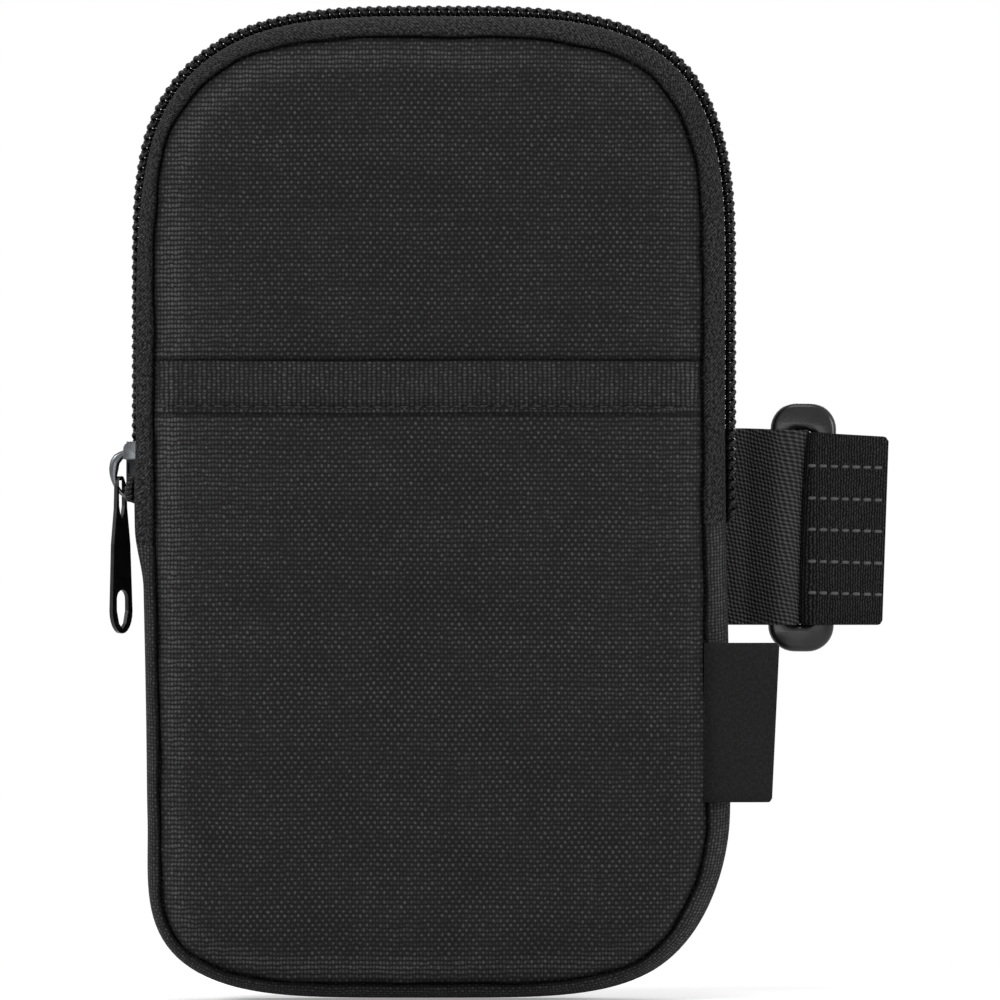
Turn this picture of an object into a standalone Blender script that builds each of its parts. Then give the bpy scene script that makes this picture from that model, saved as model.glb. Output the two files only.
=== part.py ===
"""A zip pouch that is strapped to a drinking bottle.

Seen from the front, +X is to the right, +Y goes to the back and +Z is up. The origin is the
middle of the back panel's flat outer face, which lies against the bottle.
"""

import math

import bmesh
import bpy
from mathutils import Matrix, Vector

MM = 0.001

# Outline of the side wall, seen from the front
HALF_WIDTH = 57.3 * MM
TOP_CENTRE_Z = 38.0 * MM
TOP_RISE = 57.3 * MM
TOP_ROUNDNESS = 3.33
BOTTOM_CENTRE_Z = -55.1 * MM
BOTTOM_DROP = 42.5 * MM
BOTTOM_ROUNDNESS = 3.9
# The filled pouch hangs a little out of true
SIDE_DRIFT = 1.0 * MM
BOTTOM_DRIFT = -2.8 * MM
FRONT_SHIFT_X = -1.1 * MM
FRONT_SHIFT_Z = -0.85 * MM

# Depth, from the back panel's outer face forward
CHAIN_DEPTH = 11.0 * MM
FRONT_SEAM_DEPTH = 21.4 * MM
CROWN = 3.4 * MM
CROWN_REACH = 11.0 * MM
CROWN_RINGS = (0.0, 0.28, 0.92)
PLAIN_RINGS = (0.0, 0.8)
REAR_SEAM_DEPTH = 1.0 * MM
REAR_SEAM_INSET = 3.4 * MM
FRONT_SEAM_INSET = 4.0 * MM
SHOULDER = 5.2 * MM
SEAM_GROOVE = 0.95 * MM

# Cloth and foam
CLOTH = 0.8 * MM
LINING = 0.5 * MM
FOAM = 3.0 * MM
TAPE = 0.6 * MM
GAP = 0.3 * MM
LAY_GAP = 0.35 * MM
FRONT_FOAM = 1.2 * MM
FRONT_LAYER_INSET = 2.2 * MM

# Front pocket and the line where the opened front folds
POCKET_TOP_Z = 27.3 * MM
POCKET_INSET = 0.4 * MM
BINDING_HEIGHT = 10.0 * MM
BINDING_CLOTH = 0.9 * MM
BINDING_INSET = 0.6 * MM
FOLD_Z = 60.0 * MM

# Zip chain
TOOTH_PITCH = 1.95 * MM
COIL_WIDTH = 2.2 * MM
COIL_HEIGHT = 1.7 * MM
TOOTH_REACH = 0.42 * MM
TOOTH_DIP = 0.5 * MM
MESH_GAP = 0.2 * MM
RUN_GAP = 1.15 * MM
RUN_TOP_Z = 50.0 * MM
RUN_BLEND = 6.0 * MM
TAPE_EDGE = 0.75 * MM
ZIP_END_LEFT_Z = -8.0 * MM
ZIP_END_RIGHT_Z = -4.0 * MM
CHAIN_END_LEFT_Z = 1.0 * MM

# Slider and pull
SLIDER_LOW_Z = 0.2 * MM
SLIDER_LENGTH = 11.5 * MM
SLIDER_PLATE = 0.9 * MM
SLIDER_WALL = 1.0 * MM
SLIDER_PLAY = 0.3 * MM
SLIDER_BROW = 3.4 * MM
SLIDER_TAPER = 4.2 * MM
SLIDER_EDGE = 0.3 * MM
SLIDER_FOOT_SHARE = 0.62
SLIDER_HEAD_SHARE = 0.86
FLANGE_FOOT = 4.7 * MM
FLANGE_HEAD = 0.3 * MM
# How deep pieces of the slider run into each other where they are joined
WELD = 0.2 * MM
NECK_FOOT = 0.4 * MM
NECK_WIDTH = 0.7 * MM
NECK_LENGTH = 3.6 * MM
BRIDGE_WIDTH = 1.0 * MM
BRIDGE_REACH = 3.5 * MM
BRIDGE_BAR = 1.35 * MM
BRIDGE_HOLE = BRIDGE_REACH - BRIDGE_BAR
# The arch's two lines, as distance out from the slider's plate and height above its foot
BRIDGE_OUTSIDE = (
    (-WELD, 9.9 * MM),
    (BRIDGE_REACH * 0.55, 9.4 * MM),
    (BRIDGE_REACH * 0.92, 8.3 * MM),
    (BRIDGE_REACH, 7.0 * MM),
    (BRIDGE_REACH * 0.98, 4.8 * MM),
    (BRIDGE_REACH * 0.82, 2.6 * MM),
    (BRIDGE_REACH * 0.45, 0.9 * MM),
    (-WELD, 0.3 * MM),
)
BRIDGE_INSIDE = (
    (0.25 * MM, 1.8 * MM),
    (BRIDGE_HOLE * 0.6, 2.2 * MM),
    (BRIDGE_HOLE * 0.93, 3.2 * MM),
    (BRIDGE_HOLE, 4.8 * MM),
    (BRIDGE_HOLE, 6.9 * MM),
    (BRIDGE_HOLE * 0.75, 8.0 * MM),
    (0.25 * MM, 8.3 * MM),
    (0.1 * MM, 5.0 * MM),
)
PULL_PIVOT_Z = 4.4 * MM
PULL_PIVOT_OUT = 1.3 * MM
PULL_LENGTH = 30.6 * MM
PULL_WIDTH = 6.6 * MM
PULL_NECK_WIDTH = 3.0 * MM
PULL_THICK = 0.8 * MM
PULL_EDGE = 0.15 * MM
PULL_BAR = 0.45 * MM
PULL_PLAY = 0.25 * MM
# How far down the pull its outline changes, and its two holes' lengths
PULL_BROW = 1.6 * MM
PULL_WAIST = 6.0 * MM
PULL_HIP = 13.0 * MM
PULL_SLOT = 8.0 * MM
PULL_EYE = 7.7 * MM
PULL_EYE_FOOT = 0.9 * MM
PULL_TURN = math.radians(35)
PULL_LEAN = math.radians(0.3)

# Strap
STRAP_MID_Z = -5.3 * MM
WEBBING_HEIGHT = 38.6 * MM
WEBBING = 1.2 * MM
ELASTIC_HEIGHT = 37.6 * MM
ELASTIC = 1.6 * MM
RING_Y = 0.8 * MM
RING_STANDOFF = 11.0 * MM
RING_LEFT_X = HALF_WIDTH + RING_STANDOFF
RING_SPAN = 9.0 * MM
RING_BAR = 4.0 * MM
RING_THICK = 2.6 * MM
RING_EDGE = 0.8 * MM
RING_PLAY = 0.5 * MM
RING_END = 4.9 * MM
RING_CORNER = 4.6 * MM
SLOT_HEIGHT = 39.4 * MM
BOW_DEPTH = 13.6 * MM
STRAP_TAIL = 11.7 * MM
STRAP_TURN_MARGIN = 2.2 * MM
STRAP_ROOT_OUT = 1.2 * MM
STRAP_ROOT_Y = 0.9 * MM
HOOK_MARGIN = 1.6 * MM
HOOK_CLEAR = 0.5 * MM
PATCH_MARGIN = 2.0 * MM
PATCH_THICK = 1.0 * MM
PATCH_HEIGHT = ELASTIC_HEIGHT - 2 * PATCH_MARGIN

# Side label
LABEL_HEIGHT = 31.3 * MM
LABEL_TOP_Z = -27.9 * MM
LABEL_LENGTH = 15.0 * MM
LABEL_THICK = 0.6 * MM
LABEL_CURL = 0.9 * MM

# Seam bindings inside the pouch
BINDING_WIDTH = 2.4 * MM
BINDING_THICK = 1.0 * MM
FRONT_BINDING_Y = -16.8 * MM

# Fineness of the meshes
OUTLINE_STEPS = 60
SIDE_STEP = 15.0 * MM
CORNER_STEP = 4.2 * MM
HIDDEN_STEP = 7.5 * MM
OUTWARD_REACH = 1.5 * MM
STRAIGHT_ENOUGH = 0.03
SHARP_ANGLE = math.radians(35)
BEVEL_ANGLE = math.radians(60)
WIDE = 0.2


def empty_scene():
    for thing in list(bpy.data.objects):
        bpy.data.objects.remove(thing, do_unlink=True)


def new_collection(name):
    group = bpy.data.collections.new(name)
    bpy.context.scene.collection.children.link(group)
    return group


def new_material(name, colour, roughness, metallic=0.0):
    material = bpy.data.materials.new(name)
    material.use_nodes = True
    shader = material.node_tree.nodes["Principled BSDF"]
    shader.inputs["Base Color"].default_value = (*colour, 1.0)
    shader.inputs["Roughness"].default_value = roughness
    shader.inputs["Metallic"].default_value = metallic
    return material


def smooth_step(value):
    value = min(max(value, 0.0), 1.0)
    return value * value * (3.0 - 2.0 * value)


def sway(z):
    """How far the pouch's middle line has moved sideways at this height."""
    side = SIDE_DRIFT * smooth_step((TOP_CENTRE_Z * 0.4 - z) / (TOP_CENTRE_Z * 1.2))
    bottom = BOTTOM_DRIFT * smooth_step((BOTTOM_CENTRE_Z - z) / (BOTTOM_DROP * 0.85))
    return side + bottom


def quarter(centre_z, rise, roundness, start, end, steps):
    """Points of a superellipse between two angles, in degrees."""
    points = []
    for step in range(steps + 1):
        angle = math.radians(start + (end - start) * step / steps)
        c, s = math.cos(angle), math.sin(angle)
        x = HALF_WIDTH * math.copysign(abs(c) ** (2 / roundness), c)
        z = centre_z + rise * math.copysign(abs(s) ** (2 / roundness), s)
        points.append((x, z))
    return points


def straight(x, z_from, z_to, steps):
    return [(x, z_from + (z_to - z_from) * step / steps) for step in range(1, steps)]


def dense_outline():
    """The wall's outer line, anticlockwise from the front, starting at the middle of the bottom."""
    fine = OUTLINE_STEPS
    points = quarter(BOTTOM_CENTRE_Z, BOTTOM_DROP, BOTTOM_ROUNDNESS, -90, 0, fine)
    points += straight(HALF_WIDTH, BOTTOM_CENTRE_Z, TOP_CENTRE_Z, fine)
    points += quarter(TOP_CENTRE_Z, TOP_RISE, TOP_ROUNDNESS, 0, 180, 2 * fine)
    points += straight(-HALF_WIDTH, TOP_CENTRE_Z, BOTTOM_CENTRE_Z, fine)
    points += quarter(BOTTOM_CENTRE_Z, BOTTOM_DROP, BOTTOM_ROUNDNESS, 180, 270, fine)[:-1]
    return [(x + sway(z), z) for x, z in points]


class Track:
    """The outline as a path that is read by the distance along it."""

    def __init__(self):
        self.points = dense_outline()
        self.marks = [0.0]
        for here, there in zip(self.points, self.points[1:] + self.points[:1]):
            self.marks.append(self.marks[-1] + math.dist(here, there))
        self.length = self.marks[-1]

    def place(self, distance):
        distance %= self.length
        low, high = 0, len(self.points)
        while high - low > 1:
            middle = (low + high) // 2
            if self.marks[middle] <= distance:
                low = middle
            else:
                high = middle
        here = self.points[low]
        there = self.points[(low + 1) % len(self.points)]
        share = (distance - self.marks[low]) / (self.marks[low + 1] - self.marks[low])
        return (here[0] + (there[0] - here[0]) * share, here[1] + (there[1] - here[1]) * share)

    def outward(self, distance):
        ahead = self.place(distance + OUTWARD_REACH)
        behind = self.place(distance - OUTWARD_REACH)
        along = Vector((ahead[0] - behind[0], ahead[1] - behind[1])).normalized()
        return Vector((along.y, -along.x))

    def offset(self, distance, outset):
        x, z = self.place(distance)
        normal = self.outward(distance)
        return (x + normal.x * outset, z + normal.y * outset)

    def at_height(self, z, side):
        """The distance at which the outline passes this height on the right (+1) or left (-1)."""
        best = None
        for mark, (x, height) in zip(self.marks, self.points):
            if x * side > 0 and (best is None or abs(height - z) < best[0]):
                best = (abs(height - z), mark)
        low, high = best[1] - 2 * MM, best[1] + 2 * MM
        for _ in range(40):
            middle = (low + high) / 2
            if (self.place(middle)[1] - z) * side < 0:
                low = middle
            else:
                high = middle
        return (low + high) / 2

    def stations(self, start, end, corner_step=CORNER_STEP):
        """Distances between two places, close together where the outline bends."""
        found = [start]
        while found[-1] < end - corner_step / 2:
            here = found[-1]
            bend = self.outward(min(here + SIDE_STEP, end)).angle(self.outward(here))
            step = SIDE_STEP if bend < STRAIGHT_ENOUGH else corner_step
            found.append(min(here + step, end))
        if found[-1] < end:
            found.append(end)
        return found


TRACK = Track()
LEFT_END = TRACK.at_height(ZIP_END_LEFT_Z, -1)
RIGHT_END = TRACK.at_height(ZIP_END_RIGHT_Z, 1)
LEFT_FOLD = TRACK.at_height(FOLD_Z, -1)
RIGHT_FOLD = TRACK.at_height(FOLD_Z, 1)
CLOSED_RING = TRACK.stations(0.0, TRACK.length)[:-1]


def front_share(y):
    """0 at the chain and behind it, 1 at the front seam."""
    start = -CHAIN_DEPTH - SHOULDER * 0.5
    return smooth_step((start - y) / (start + FRONT_SEAM_DEPTH))


def wall_point(distance, inset, y):
    x, z = TRACK.offset(distance, -inset)
    share = front_share(y)
    return Vector((x + FRONT_SHIFT_X * share, y, z + FRONT_SHIFT_Z * share))


def wall_profile(inner=0.0):
    """Inset and place in depth of the side wall's outer surface, from the rear seam forward."""
    mid_rear = (REAR_SEAM_DEPTH + CHAIN_DEPTH - SHOULDER) / 2
    mid_front = (FRONT_SEAM_DEPTH + CHAIN_DEPTH + SHOULDER) / 2
    return [
        (REAR_SEAM_INSET + inner, -REAR_SEAM_DEPTH - inner * 0.4),
        (REAR_SEAM_INSET * 0.3 + inner, -mid_rear),
        (inner, -CHAIN_DEPTH + SHOULDER),
        (inner, -CHAIN_DEPTH - SHOULDER),
        (FRONT_SEAM_INSET * 0.3 + inner, -mid_front),
        (FRONT_SEAM_INSET - SEAM_GROOVE + inner, -FRONT_SEAM_DEPTH + GAP + inner * 0.4),
    ]


def link(mesh, name, group, material, smooth=True):
    thing = bpy.data.objects.new(name, mesh)
    group.objects.link(thing)
    mesh.materials.clear()
    mesh.materials.append(material)
    if smooth:
        mesh.shade_smooth()
        mesh.set_sharp_from_angle(angle=SHARP_ANGLE)
    return thing


def mesh_of_rows(name, rows, closed_rows=False, fill_last=False):
    """A sheet through rows of points; each row is as long as the next."""
    build = bmesh.new()
    made = [[build.verts.new(point) for point in row] for row in rows]
    for row, following in zip(made, made[1:]):
        count = len(row)
        for i in range(count if closed_rows else count - 1):
            j = (i + 1) % count
            build.faces.new((row[i], row[j], following[j], following[i]))
    if fill_last:
        build.faces.new(made[-1])
    mesh = bpy.data.meshes.new(name)
    build.to_mesh(mesh)
    build.free()
    return mesh


def thicken(thing, thickness, offset=-1.0):
    """Gives a sheet its wall and makes it a mesh, with its faces pointing out."""
    wall = thing.modifiers.new("wall", "SOLIDIFY")
    wall.thickness = thickness
    wall.offset = offset
    wall.use_even_offset = True
    settle(thing)
    build = bmesh.new()
    build.from_mesh(thing.data)
    bmesh.ops.triangulate(build, faces=build.faces)
    bmesh.ops.recalc_face_normals(build, faces=build.faces)
    build.to_mesh(thing.data)
    build.free()
    return thing


def settle(thing):
    """Turns an object with modifiers, or a curve, into a plain mesh object."""
    graph = bpy.context.evaluated_depsgraph_get()
    graph.update()
    mesh = bpy.data.meshes.new_from_object(thing.evaluated_get(graph))
    if thing.type == "MESH":
        thing.modifiers.clear()
        thing.data = mesh
        return thing
    name, group, matrix = thing.name, thing.users_collection[0], thing.matrix_world.copy()
    bpy.data.objects.remove(thing, do_unlink=True)
    made = bpy.data.objects.new(name, mesh)
    group.objects.link(made)
    made.matrix_world = matrix
    build = bmesh.new()
    build.from_mesh(mesh)
    bmesh.ops.remove_doubles(build, verts=build.verts, dist=1e-6)
    build.to_mesh(mesh)
    build.free()
    return made


def cut(thing, cutter, operation="DIFFERENCE"):
    step = thing.modifiers.new(operation.lower(), "BOOLEAN")
    step.operation = operation
    step.solver = "EXACT"
    step.object = cutter
    return settle(thing)


def box_cutter(name, low, high):
    bpy.ops.mesh.primitive_cube_add(size=1)
    box = bpy.context.active_object
    box.name = name
    for old in list(box.users_collection):
        old.objects.unlink(box)
    CUTTERS.objects.link(box)
    low, high = Vector(low), Vector(high)
    box.data.transform(Matrix.Diagonal((*(high - low), 1.0)))
    box.data.transform(Matrix.Translation((low + high) / 2))
    box.hide_render = True
    box.display_type = "WIRE"
    return box


def drop(thing):
    bpy.data.objects.remove(thing, do_unlink=True)


def crown_depth(inset):
    """How far the front stands forward of its seam, this far in from the seam."""
    return CROWN * math.sin(min(max(inset, 0.0) / CROWN_REACH, 1.0) * math.pi / 2) ** 0.8


def front_rows(back_from_face, edge_inset, rings):
    """Rings of the crowned front, a set depth behind its outer face."""
    rows = []
    for share in rings:
        inset = edge_inset + share * CROWN_REACH
        depth = FRONT_SEAM_DEPTH + crown_depth(inset) - back_from_face
        whole = FRONT_SEAM_INSET + inset
        ring = []
        for distance in CLOSED_RING:
            x, z = TRACK.offset(distance, -whole)
            ring.append((x + FRONT_SHIFT_X, -depth, z + FRONT_SHIFT_Z))
        rows.append(ring)
    return rows


def crowned(name, back_from_face, edge_inset, thickness, material, rings=CROWN_RINGS):
    mesh = mesh_of_rows(name, front_rows(back_from_face, edge_inset, rings), True, True)
    thing = link(mesh, name, PARTS, material)
    build = bmesh.new()
    build.from_mesh(mesh)
    bmesh.ops.recalc_face_normals(build, faces=build.faces)
    if sum(face.normal.y * face.calc_area() for face in build.faces) > 0:
        bmesh.ops.reverse_faces(build, faces=build.faces)
    build.to_mesh(mesh)
    build.free()
    return thicken(thing, thickness)


def keep_between(thing, low_z, high_z):
    """Cuts away what lies outside two heights."""
    box = box_cutter(thing.name + "_keep", (-WIDE, -WIDE, low_z), (WIDE, WIDE, high_z))
    return cut(thing, box, "INTERSECT")


def flat_panel(name, y_front, y_back, inset, material):
    """A flat piece of the outline's shape between two depths; both y values are negative or 0."""
    ring = []
    for distance in CLOSED_RING:
        x, z = TRACK.offset(distance, -inset)
        ring.append((x, y_back, z))
    mesh = mesh_of_rows(name, [ring], True, True)
    thing = link(mesh, name, PARTS, material)
    build = bmesh.new()
    build.from_mesh(mesh)
    if sum(face.normal.y for face in build.faces) < 0:
        bmesh.ops.reverse_faces(build, faces=build.faces)
    build.to_mesh(mesh)
    build.free()
    return thicken(thing, y_back - y_front)


def make_back():
    flat_panel("back_panel", -CLOTH, 0.0, REAR_SEAM_INSET + GAP, FABRIC)
    foam_back = -CLOTH - LAY_GAP
    inset = REAR_SEAM_INSET + GAP + CLOTH
    flat_panel("back_padding", foam_back - FOAM, foam_back, inset + CLOTH, FOAM_MATERIAL)
    lining_back = foam_back - FOAM - LAY_GAP
    flat_panel("back_lining", lining_back - LINING, lining_back, inset, LINING_MATERIAL)


def make_front():
    lining_front = CLOTH + LAY_GAP + FRONT_FOAM + LAY_GAP
    layers = (
        ("front_panel", "flap_panel", 0.0, 0.0, CLOTH, FABRIC),
        ("front_padding", "flap_padding", CLOTH + LAY_GAP, FRONT_LAYER_INSET, FRONT_FOAM, FOAM_MATERIAL),
        ("front_lining", "flap_lining", lining_front, FRONT_LAYER_INSET, LINING, LINING_MATERIAL),
    )
    for low_name, high_name, behind, edge, thickness, material in layers:
        rings = CROWN_RINGS if behind == 0.0 else PLAIN_RINGS
        low = crowned(low_name, behind, edge, thickness, material, rings)
        keep_between(low, -WIDE, FOLD_Z - GAP / 2)
        high = crowned(high_name, behind, edge, thickness, material, rings)
        keep_between(high, FOLD_Z + GAP / 2, WIDE)


def make_pocket():
    """The slip pocket's panel, and the strip that binds its mouth."""
    panel = crowned("pocket_panel", -LAY_GAP - CLOTH, POCKET_INSET, CLOTH, FABRIC)
    keep_between(panel, -WIDE, POCKET_TOP_Z - GAP)
    forward = -LAY_GAP * 2 - CLOTH - BINDING_CLOTH
    binding = crowned("pocket_binding", forward, BINDING_INSET, BINDING_CLOTH, FABRIC)
    keep_between(binding, POCKET_TOP_Z - BINDING_HEIGHT, POCKET_TOP_Z)


def wall_strip(name, start, end, profile, thickness, material, corner_step=CORNER_STEP):
    """A strip of side wall between two places along the outline."""
    places = TRACK.stations(start, end, corner_step)
    rows = [[wall_point(place, inset, y) for place in places] for inset, y in profile]
    thing = link(mesh_of_rows(name, rows), name, PARTS, material)
    build = bmesh.new()
    build.from_mesh(thing.data)
    middle = Vector((0, -CHAIN_DEPTH, 0))
    if sum((face.calc_center_median() - middle).dot(face.normal) for face in build.faces) < 0:
        bmesh.ops.reverse_faces(build, faces=build.faces)
    build.to_mesh(thing.data)
    build.free()
    return thicken(thing, thickness)


def make_walls():
    whole = wall_profile()
    start, end = LEFT_END + GAP - TRACK.length, RIGHT_END - GAP
    wall_strip("bottom_gusset", start, end, whole, CLOTH, FABRIC)
    inner = [(inset + CLOTH + 2 * LAY_GAP, y) for inset, y in whole[1:-1]]
    wall_strip("gusset_lining", start, end, inner, LINING, LINING_MATERIAL, HIDDEN_STEP)
    rear = whole[:3] + [(0.0, -CHAIN_DEPTH + TAPE_EDGE)]
    front = [(0.0, -CHAIN_DEPTH - TAPE_EDGE)] + whole[3:]
    wall_strip("zip_tape_rear", RIGHT_END, LEFT_END, rear, TAPE, TAPE_MATERIAL)
    wall_strip("zip_tape_front_right", RIGHT_END, RIGHT_FOLD - GAP / 2, front, TAPE, TAPE_MATERIAL)
    wall_strip("zip_tape_flap", RIGHT_FOLD + GAP / 2, LEFT_FOLD - GAP / 2, front, TAPE, TAPE_MATERIAL)
    wall_strip("zip_tape_front_left", LEFT_FOLD + GAP / 2, LEFT_END, front, TAPE, TAPE_MATERIAL)


def chain_gap(distance):
    """Half the gap between the two rows of teeth: wide on the slider's run, closed elsewhere."""
    x, z = TRACK.place(distance)
    if x > 0:
        return MESH_GAP
    return RUN_GAP + (MESH_GAP - RUN_GAP) * smooth_step((z - RUN_TOP_Z) / RUN_BLEND)


def coil(name, start, end, side):
    """One row of the zip's coil; side is +1 for the rear row and -1 for the front row."""
    half = TOOTH_PITCH / 2
    first = math.ceil(start / half)
    last = math.floor(end / half)
    rows = []
    for index in range(first, last + 1):
        distance = index * half
        swing = 1 if index % 2 else -1
        crest = swing * side < 0
        nose = side * chain_gap(distance) + swing * TOOTH_REACH
        top = COIL_HEIGHT if crest else COIL_HEIGHT - TOOTH_DIP
        back = side * (chain_gap(distance) + COIL_WIDTH)
        section = (
            (0.45 * COIL_HEIGHT, nose),
            (top, nose + (back - nose) * 0.45),
            (0.35 * COIL_HEIGHT, back),
            (0.0, nose + (back - nose) * 0.45),
        )
        ring = []
        for out, along_y in section:
            x, z = TRACK.offset(distance, GAP + out)
            ring.append(Vector((x, -CHAIN_DEPTH + along_y, z)))
        rows.append(ring)
    mesh = mesh_of_rows(name, rows, True)
    build = bmesh.new()
    build.from_mesh(mesh)
    bmesh.ops.holes_fill(build, edges=build.edges, sides=0)
    bmesh.ops.triangulate(build, faces=build.faces)
    bmesh.ops.recalc_face_normals(build, faces=build.faces)
    build.to_mesh(mesh)
    build.free()
    return link(mesh, name, PARTS, COIL_MATERIAL)


def make_coils():
    chain_end = TRACK.at_height(CHAIN_END_LEFT_Z, -1)
    half = TOOTH_PITCH / 2
    coil("zip_coil_rear", RIGHT_END, chain_end, 1)
    coil("zip_coil_front_right", RIGHT_END, RIGHT_FOLD - half, -1)
    coil("zip_coil_flap", RIGHT_FOLD + GAP, LEFT_FOLD - GAP, -1)
    coil("zip_coil_front_left", LEFT_FOLD + half, chain_end, -1)


def axes(x_goes_to, y_goes_to, z_goes_to):
    """The turn that takes the three axes to these directions."""
    return Matrix((x_goes_to, y_goes_to, z_goes_to)).transposed().to_4x4()


def soften(thing, width, segments):
    """Bevels the sharp edges."""
    step = thing.modifiers.new("edges", "BEVEL")
    step.width = width
    step.segments = segments
    step.limit_method = "ANGLE"
    step.angle_limit = BEVEL_ANGLE
    return settle(thing)


def flat_curve(name, outlines, thickness, material):
    """A plate cut to closed outlines in its own XY plane, the first outside and the rest holes."""
    curve = bpy.data.curves.new(name, "CURVE")
    curve.dimensions = "2D"
    curve.fill_mode = "BOTH"
    curve.extrude = thickness / 2
    for outline in outlines:
        spline = curve.splines.new("POLY")
        spline.points.add(len(outline) - 1)
        for point, (x, y) in zip(spline.points, outline):
            point.co = (x, y, 0.0, 1.0)
        spline.use_cyclic_u = True
    thing = bpy.data.objects.new(name, curve)
    PARTS.objects.link(thing)
    thing = settle(thing)
    thing.data.materials.clear()
    thing.data.materials.append(material)
    return thing


# Depths at the slider, as distances out from the wall's outer surface
COIL_TOP = GAP + COIL_HEIGHT
OUTER_PLATE_LOW = COIL_TOP + SLIDER_PLAY
OUTER_PLATE_HIGH = OUTER_PLATE_LOW + SLIDER_PLATE
INNER_PLATE_HIGH = -TAPE - SLIDER_PLAY
INNER_PLATE_LOW = INNER_PLATE_HIGH - SLIDER_PLATE
FLANGE_LOW = SLIDER_PLAY
CHANNEL_HALF = RUN_GAP + COIL_WIDTH + SLIDER_PLAY
SLIDER_HALF = CHANNEL_HALF + SLIDER_WALL


def slider_plate(name, out_low, out_high):
    """A shield-shaped plate that lies in the YZ plane."""
    half, low, high = SLIDER_HALF, SLIDER_LOW_Z, SLIDER_LOW_Z + SLIDER_LENGTH
    foot, head = half * SLIDER_FOOT_SHARE, half * SLIDER_HEAD_SHARE
    outline = [
        (-foot, low),
        (foot, low),
        (half, low + SLIDER_TAPER),
        (half, high - SLIDER_BROW),
        (head, high),
        (-head, high),
        (-half, high - SLIDER_BROW),
        (-half, low + SLIDER_TAPER),
    ]
    plate = flat_curve(name, [outline], out_high - out_low, METAL)
    return stand_at_chain(plate, (out_low + out_high) / 2)


def stand_at_chain(plate, out):
    """Turns a plate drawn as across and up so that it lies beside the left straight of the zip."""
    plate.data.transform(axes((0, 1, 0), (0, 0, 1), (-1, 0, 0)))
    plate.data.transform(Matrix.Translation((-HALF_WIDTH - out, -CHAIN_DEPTH, 0)))
    return fix_normals(plate)


def fix_normals(thing):
    build = bmesh.new()
    build.from_mesh(thing.data)
    bmesh.ops.recalc_face_normals(build, faces=build.faces)
    build.to_mesh(thing.data)
    build.free()
    return thing


def join(base, *others):
    for other in others:
        base = cut(base, other, "UNION")
        drop(other)
    return base


def at_chain(out, y, z):
    """A point beside the left straight of the zip."""
    return (-HALF_WIDTH - out, -CHAIN_DEPTH + y, z)


def make_slider():
    low, high = SLIDER_LOW_Z, SLIDER_LOW_Z + SLIDER_LENGTH
    outer = slider_plate("zip_slider", OUTER_PLATE_LOW, OUTER_PLATE_HIGH)
    outer = soften(outer, SLIDER_EDGE, 1)
    inner = slider_plate("slider_inner", INNER_PLATE_LOW, INNER_PLATE_HIGH)
    foot, brow, top = low + FLANGE_FOOT, high - SLIDER_BROW, high - FLANGE_HEAD
    narrow = 1 - (1 - SLIDER_HEAD_SHARE) * (top - brow) / SLIDER_BROW
    flanges = []
    for side in (-1, 1):
        near, far = side * CHANNEL_HALF, side * SLIDER_HALF
        edge = [(near, foot), (far, foot), (far, brow), (far * narrow, top), (near, top)]
        flange = flat_curve("flange", [edge], OUTER_PLATE_LOW + WELD - FLANGE_LOW, METAL)
        flanges.append(stand_at_chain(flange, (OUTER_PLATE_LOW + WELD + FLANGE_LOW) / 2))
    half, start, peak = NECK_WIDTH / 2, low + NECK_FOOT, low + NECK_LENGTH
    shoulder = low + NECK_LENGTH * 0.7
    wedge = [(-half, start), (half, start), (half, shoulder), (0.0, peak), (-half, shoulder)]
    depth = OUTER_PLATE_LOW - INNER_PLATE_HIGH + 2 * WELD
    neck = flat_curve("neck", [wedge], depth, METAL)
    stand_at_chain(neck, (OUTER_PLATE_LOW + INNER_PLATE_HIGH) / 2)
    slider = join(outer, inner, *flanges, neck, make_bridge())
    slider.name = "zip_slider"
    shade(slider)


def make_bridge():
    """The arch on the slider that holds the pull."""
    arch = flat_curve("bridge", [BRIDGE_OUTSIDE, BRIDGE_INSIDE], BRIDGE_WIDTH, METAL)
    arch.data.transform(axes((-1, 0, 0), (0, 0, 1), (0, 1, 0)))
    arch.data.transform(Matrix.Translation((-HALF_WIDTH - OUTER_PLATE_HIGH, -CHAIN_DEPTH, SLIDER_LOW_Z)))
    return fix_normals(arch)


def shade(thing):
    thing.data.shade_smooth()
    thing.data.set_sharp_from_angle(angle=SHARP_ANGLE)


def half_round(centre, radius, start, end, steps):
    return [
        (
            centre[0] + radius * math.cos(math.radians(start + (end - start) * i / steps)),
            centre[1] + radius * math.sin(math.radians(start + (end - start) * i / steps)),
        )
        for i in range(steps + 1)
    ]


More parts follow.
